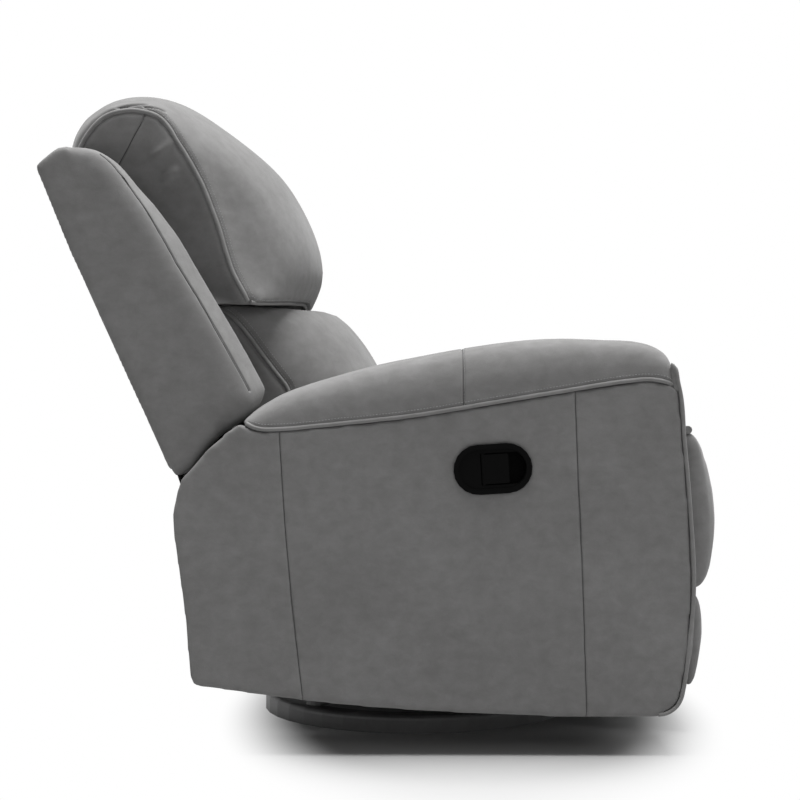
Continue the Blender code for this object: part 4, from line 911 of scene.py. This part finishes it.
for side, sign in (("right", -1.0), ("left", 1.0)):
    panel = skin("arm_side_" + side, "arm_outer_panel_" + side, 0.005, 2, 0.0008)
    points = points_of(panel)
    points[points[:, 2] > PANEL_TOP, 2] += PANEL_RISE
    move_to(panel, points)
    uneven(panel, 0.0010, 7.0)
    for outline in (REAR_SEAM, FRONT_SEAM):
        seam = side_line(sign * ARM_X, outline)
        groove(panel, seam, 0.0018, 0.0013)
        # A thin dark cord of painted shade lies in each panel seam.
        shade("frame", seam, panel)
    dress(panel, "frame", ["arm_outer_panel_" + side])
    inner = skin("arm_inside_" + side, "arm_inner_panel_" + side, 0.006, 2, 0.0008)
    points, normals = points_of(inner), normals_of(inner)
    points[:, 2] += TUCK * part_way(normals[:, 2], 0.3, 0.7)
    move_to(inner, points)
    uneven(inner, 0.0008, 8.0)
    dress(inner, "frame", ["arm_inner_panel_" + side])
    front = skin("arm_front_" + side, "arm_front_panel_" + side, 0.003, 4, 0.001, (1,))
    points, normals = points_of(front), normals_of(front)
    middle = np.clip(1.0 - ((np.abs(points[:, 0]) - 0.35) / 0.082) ** 2, 0.0, 1.0) ** 0.4
    points[:, 1] -= 0.002 * middle * np.clip(-normals[:, 1], 0.0, 1.0)
    points[(points[:, 2] > 0.550) & (normals[:, 1] > 0.3), 1] += CAP_DEPTH
    points[:, 2] += CAP_RISE * part_way(points[:, 2], 0.560, 0.580)
    ray = points[:, 1:] - CORNER
    angle = np.degrees(np.arctan2(-ray[:, 1], -ray[:, 0]))
    turn = np.radians(CORNER_TURN * part_way(angle, 50.0, 72.0) * (points[:, 2] < CORNER[1]))
    points[:, 1] = CORNER[0] + ray[:, 0] * np.cos(turn) - ray[:, 1] * np.sin(turn)
    points[:, 2] = CORNER[1] + ray[:, 0] * np.sin(turn) + ray[:, 1] * np.cos(turn)
    move_to(front, points)
    soften(front, 4, points[:, 2] > 0.566)
    dress(front, "frame", ["arm_front_panel_" + side])
    edge = side_line(sign * (ARM_X - CORD_R + 0.001), FRONT_EDGE)
    dress(cord_mesh("arm_front_piping_" + side, edge, CORD_R), "frame")
    print("arm", side, [len(piece.data.polygons) for piece in (panel, inner, front)], "faces")

# %% [markdown]
# ## The wings and the back
# The wings are thin padded boards beside the pillow. Their front edge is a separate strip, turned to the
# front, that catches the light. Behind, two plain panels close the chair.

# %% Wings
WING_FOLD = [(0.4774, 0.9134), (0.4531, 0.8917), (0.4342, 0.8674), (0.407, 0.8186), (0.3853, 0.7833),
             (0.3664, 0.7454), (0.3365, 0.6993), (0.3042, 0.6413), (0.2540, 0.5500)]
BACK_FOOT = np.array([0.0, 0.389 + SWIVEL_Y, 0.455])
DROP, PEAK = 0.004, 0.006
LIP = [(0.0, 0.0105), (0.200, 0.0150), (0.330, 0.0180), (0.469, 0.0160)]
wing = skin("wing_cover_right", "wing_right", 0.004, 4, 0.0010, (3, 1))
points = points_of(wing)
ahead = (points - BACK_FOOT) @ BACK_OUT
along = (points - BACK_FOOT) @ BACK_UP
lip = part_way(-points[:, 0], 0.388, 0.398) * part_way(ahead, 0.034, 0.016)
lip *= np.interp(along, *zip(*LIP))
drop = DROP * part_way(along, 0.030, -0.010) * part_way(ahead, 0.080, 0.040)
drop -= PEAK * part_way(along, 0.440, 0.470) * part_way(ahead, 0.070, 0.040)
move_to(wing, points - lip[:, None] * BACK_OUT - drop[:, None] * BACK_UP)
soften(wing, 1)
turned = (ahead > 0.085) | ((along > 0.430) & (ahead > 0.050))
soften(wing, 25, turned)
iron(wing, 40, turned)
fold = side_line(-0.396, WING_FOLD, 0.002)
groove(wing, fold, 0.0024, 0.0018)
uneven(wing, 0.0010, 9.0)
wing_left = mirrored(wing, "wing_cover_left")
for piece, side, sign in ((wing, "right", 1.0), (wing_left, "left", -1.0)):
    dress(piece, "back", ["wing_" + side])
    # A thin dark cord of painted shade lies in the wing's fold.
    shade("back", fold * np.array([sign, 1.0, 1.0]), piece)
print("wing", len(wing.data.polygons), "faces")

# %% [markdown]
# The outside back is one flat cover, drawn in a little between the wings, and the lower cover closes the
# frame below it.

# %% Back panels
COVER_X, PANEL_X = 0.3915, 0.405
outside = skin("outside_back_cover", "back_panel", 0.005, 2, 0.0008)
points = points_of(outside)
points[:, 0] *= COVER_X / PANEL_X
move_to(outside, points)
uneven(outside, 0.0010, 8.0)
dress(outside, "back", ["back_panel"])
lower = skin("lower_back_cover", "rear_panel", 0.005, 2, 0.0008)
uneven(lower, 0.0010, 8.0)
dress(lower, "frame", ["rear_panel"])
print("back covers", [len(piece.data.polygons) for piece in (outside, lower)], "faces")

# %% [markdown]
# ## Linings
# Where a chair opens when it reclines, the upholsterer closes it with plain cloth: a strip down each
# side of the inside back, between the lumbar cushion and the wing, one across the top behind the pillow, a
# dust cover in each arm, and two cloths across the hinge that are sewn to the frame and to the back and fold
# between them, one behind and one in the crevice behind the seat. Here that cloth is the darker suede, whose
# darkness is painted shade.


# %% Flat linings
def lining(name, body, width, length, place, up, out, rests):
    shape = bmesh.new()
    bmesh.ops.create_grid(shape, x_segments=10, y_segments=12, size=0.5)
    bmesh.ops.scale(shape, vec=(width, length, 1.0), verts=shape.verts)
    turn = Matrix((Vector(np.cross(up, out)), Vector(up), Vector(out))).transposed().to_4x4()
    bmesh.ops.transform(shape, matrix=Matrix.Translation(Vector(place)) @ turn, verts=shape.verts)
    # The lining cloth is a real part, and its darker suede is painted shade.
    piece = as_object(name, shape, SHADED)
    dress(piece, body)
    print(name, round(width, 3), "x", round(length, 3), "m")


STRIP_FLAT, STRIP_X, STRIP_AHEAD, STRIP_ALONG = (0.088, 0.195), 0.302, 0.108, 0.0675
DUST_FLAT, DUST_X, DUST_Y, DUST_Z = (0.124, 0.690), 0.349, -0.0645, 0.204
for side, sign in (("right", -1.0), ("left", 1.0)):
    place = BACK_FOOT + BACK_OUT * STRIP_AHEAD + BACK_UP * STRIP_ALONG + np.array([sign * STRIP_X, 0.0, 0.0])
    lining("back_lining_" + side, "back", *STRIP_FLAT, place, BACK_UP, BACK_OUT,
           ["wing_cover_" + side, "lumbar_pad"])
    lining("arm_dust_cover_" + side, "frame", *DUST_FLAT, (sign * DUST_X, DUST_Y, DUST_Z),
           (0.0, 1.0, 0.0), (0.0, 0.0, 1.0), ["arm_side_" + side, "arm_inside_" + side])
TOP_REAR = BACK_FOOT + BACK_OUT * 0.011 + BACK_UP * 0.462
TOP_FRONT = BACK_FOOT + BACK_OUT * 0.050 + BACK_UP * 0.481
TOP_WIDTH, TOP_LENGTH = 0.700, float(np.linalg.norm(TOP_FRONT - TOP_REAR))
rising = (TOP_FRONT - TOP_REAR) / TOP_LENGTH
lining("back_lining_top", "back", TOP_WIDTH, TOP_LENGTH, (TOP_REAR + TOP_FRONT) / 2, rising,
       np.cross((1.0, 0.0, 0.0), rising), ["outside_back_cover", "headrest_cushion"])

# %% [markdown]
# A cloth across a hinge is sewn on both sides. Here its rows are laid along one line between the frame and
# the back.

# %% Cloths across the hinge
def hinge_cloth(name, outline, width, length):
    track = side_line(0.0, outline, length / 16)
    shape = bmesh.new()
    bmesh.ops.create_grid(shape, x_segments=24, y_segments=len(track) - 1, size=0.5)
    for vert in shape.verts:
        row = round((vert.co.y + 0.5) * (len(track) - 1))
        vert.co = Vector(track[row]) + Vector((vert.co.x * width, 0.0, 0.0))
    # The hinge cloth is a real part, and its darker suede is painted shade.
    cloth = as_object(name, shape, SHADED)
    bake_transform(cloth)
    print(name, round(float(np.linalg.norm(np.diff(track, axis=0), axis=1).sum()), 4), "m long")


FLAP = [(0.343, 0.335), (0.348, 0.365), (0.356, 0.395), (0.3655, 0.4235), (0.3735, 0.4435)]
CREVICE = [(0.167, 0.452), (0.198, 0.416), (0.250, 0.418), (0.286, 0.452), (0.3035, 0.4945)]
hinge_cloth("rear_flap", FLAP, -0.80, 0.114)
hinge_cloth("seat_crevice_cloth", CREVICE, 0.456, 0.198)

# %% [markdown]
# ## The rocker springs
# Four coils stand between the swivel and the rocking frame. When the chair rocks, two of them shorten and two
# stretch. Each is a copy of its solid, whose foot and head are found as its lowest and highest points.

# %% Rocker springs
for corner in ("front_left", "front_right", "rear_left", "rear_right"):
    node = "rocker_spring_" + corner
    spring = as_object("coil_" + corner, welded(node), FINISHES["black_steel"])
    reach = points_of(spring)
    foot, head = reach.mean(axis=0), reach.mean(axis=0)
    foot[2], head[2] = reach[:, 2].min(), reach[:, 2].max()
    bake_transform(spring)
    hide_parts(node)
    print(spring.name, round(float(head[2] - foot[2]) * 1000, 1), "mm high")

# %% [markdown]
# ## Joining the rows
# Thousands of stitches as separate objects would be slow, so the stitches of each body become one piece, and
# its painted shade lines another.

# %% Sewn rows
for name, lots, finish in (("stitching_", threads, THREAD), ("creases_", painted_shade_lines, SHADE_LINE_SUEDE)):
    for body, rows in lots.items():
        shape = bmesh.new()
        for mesh in rows:
            shape.from_mesh(mesh)
            bpy.data.meshes.remove(mesh)
        count = len(shape.verts)
        dress(as_object(name + body, shape, finish), body)
        print(name + body, count, "points")
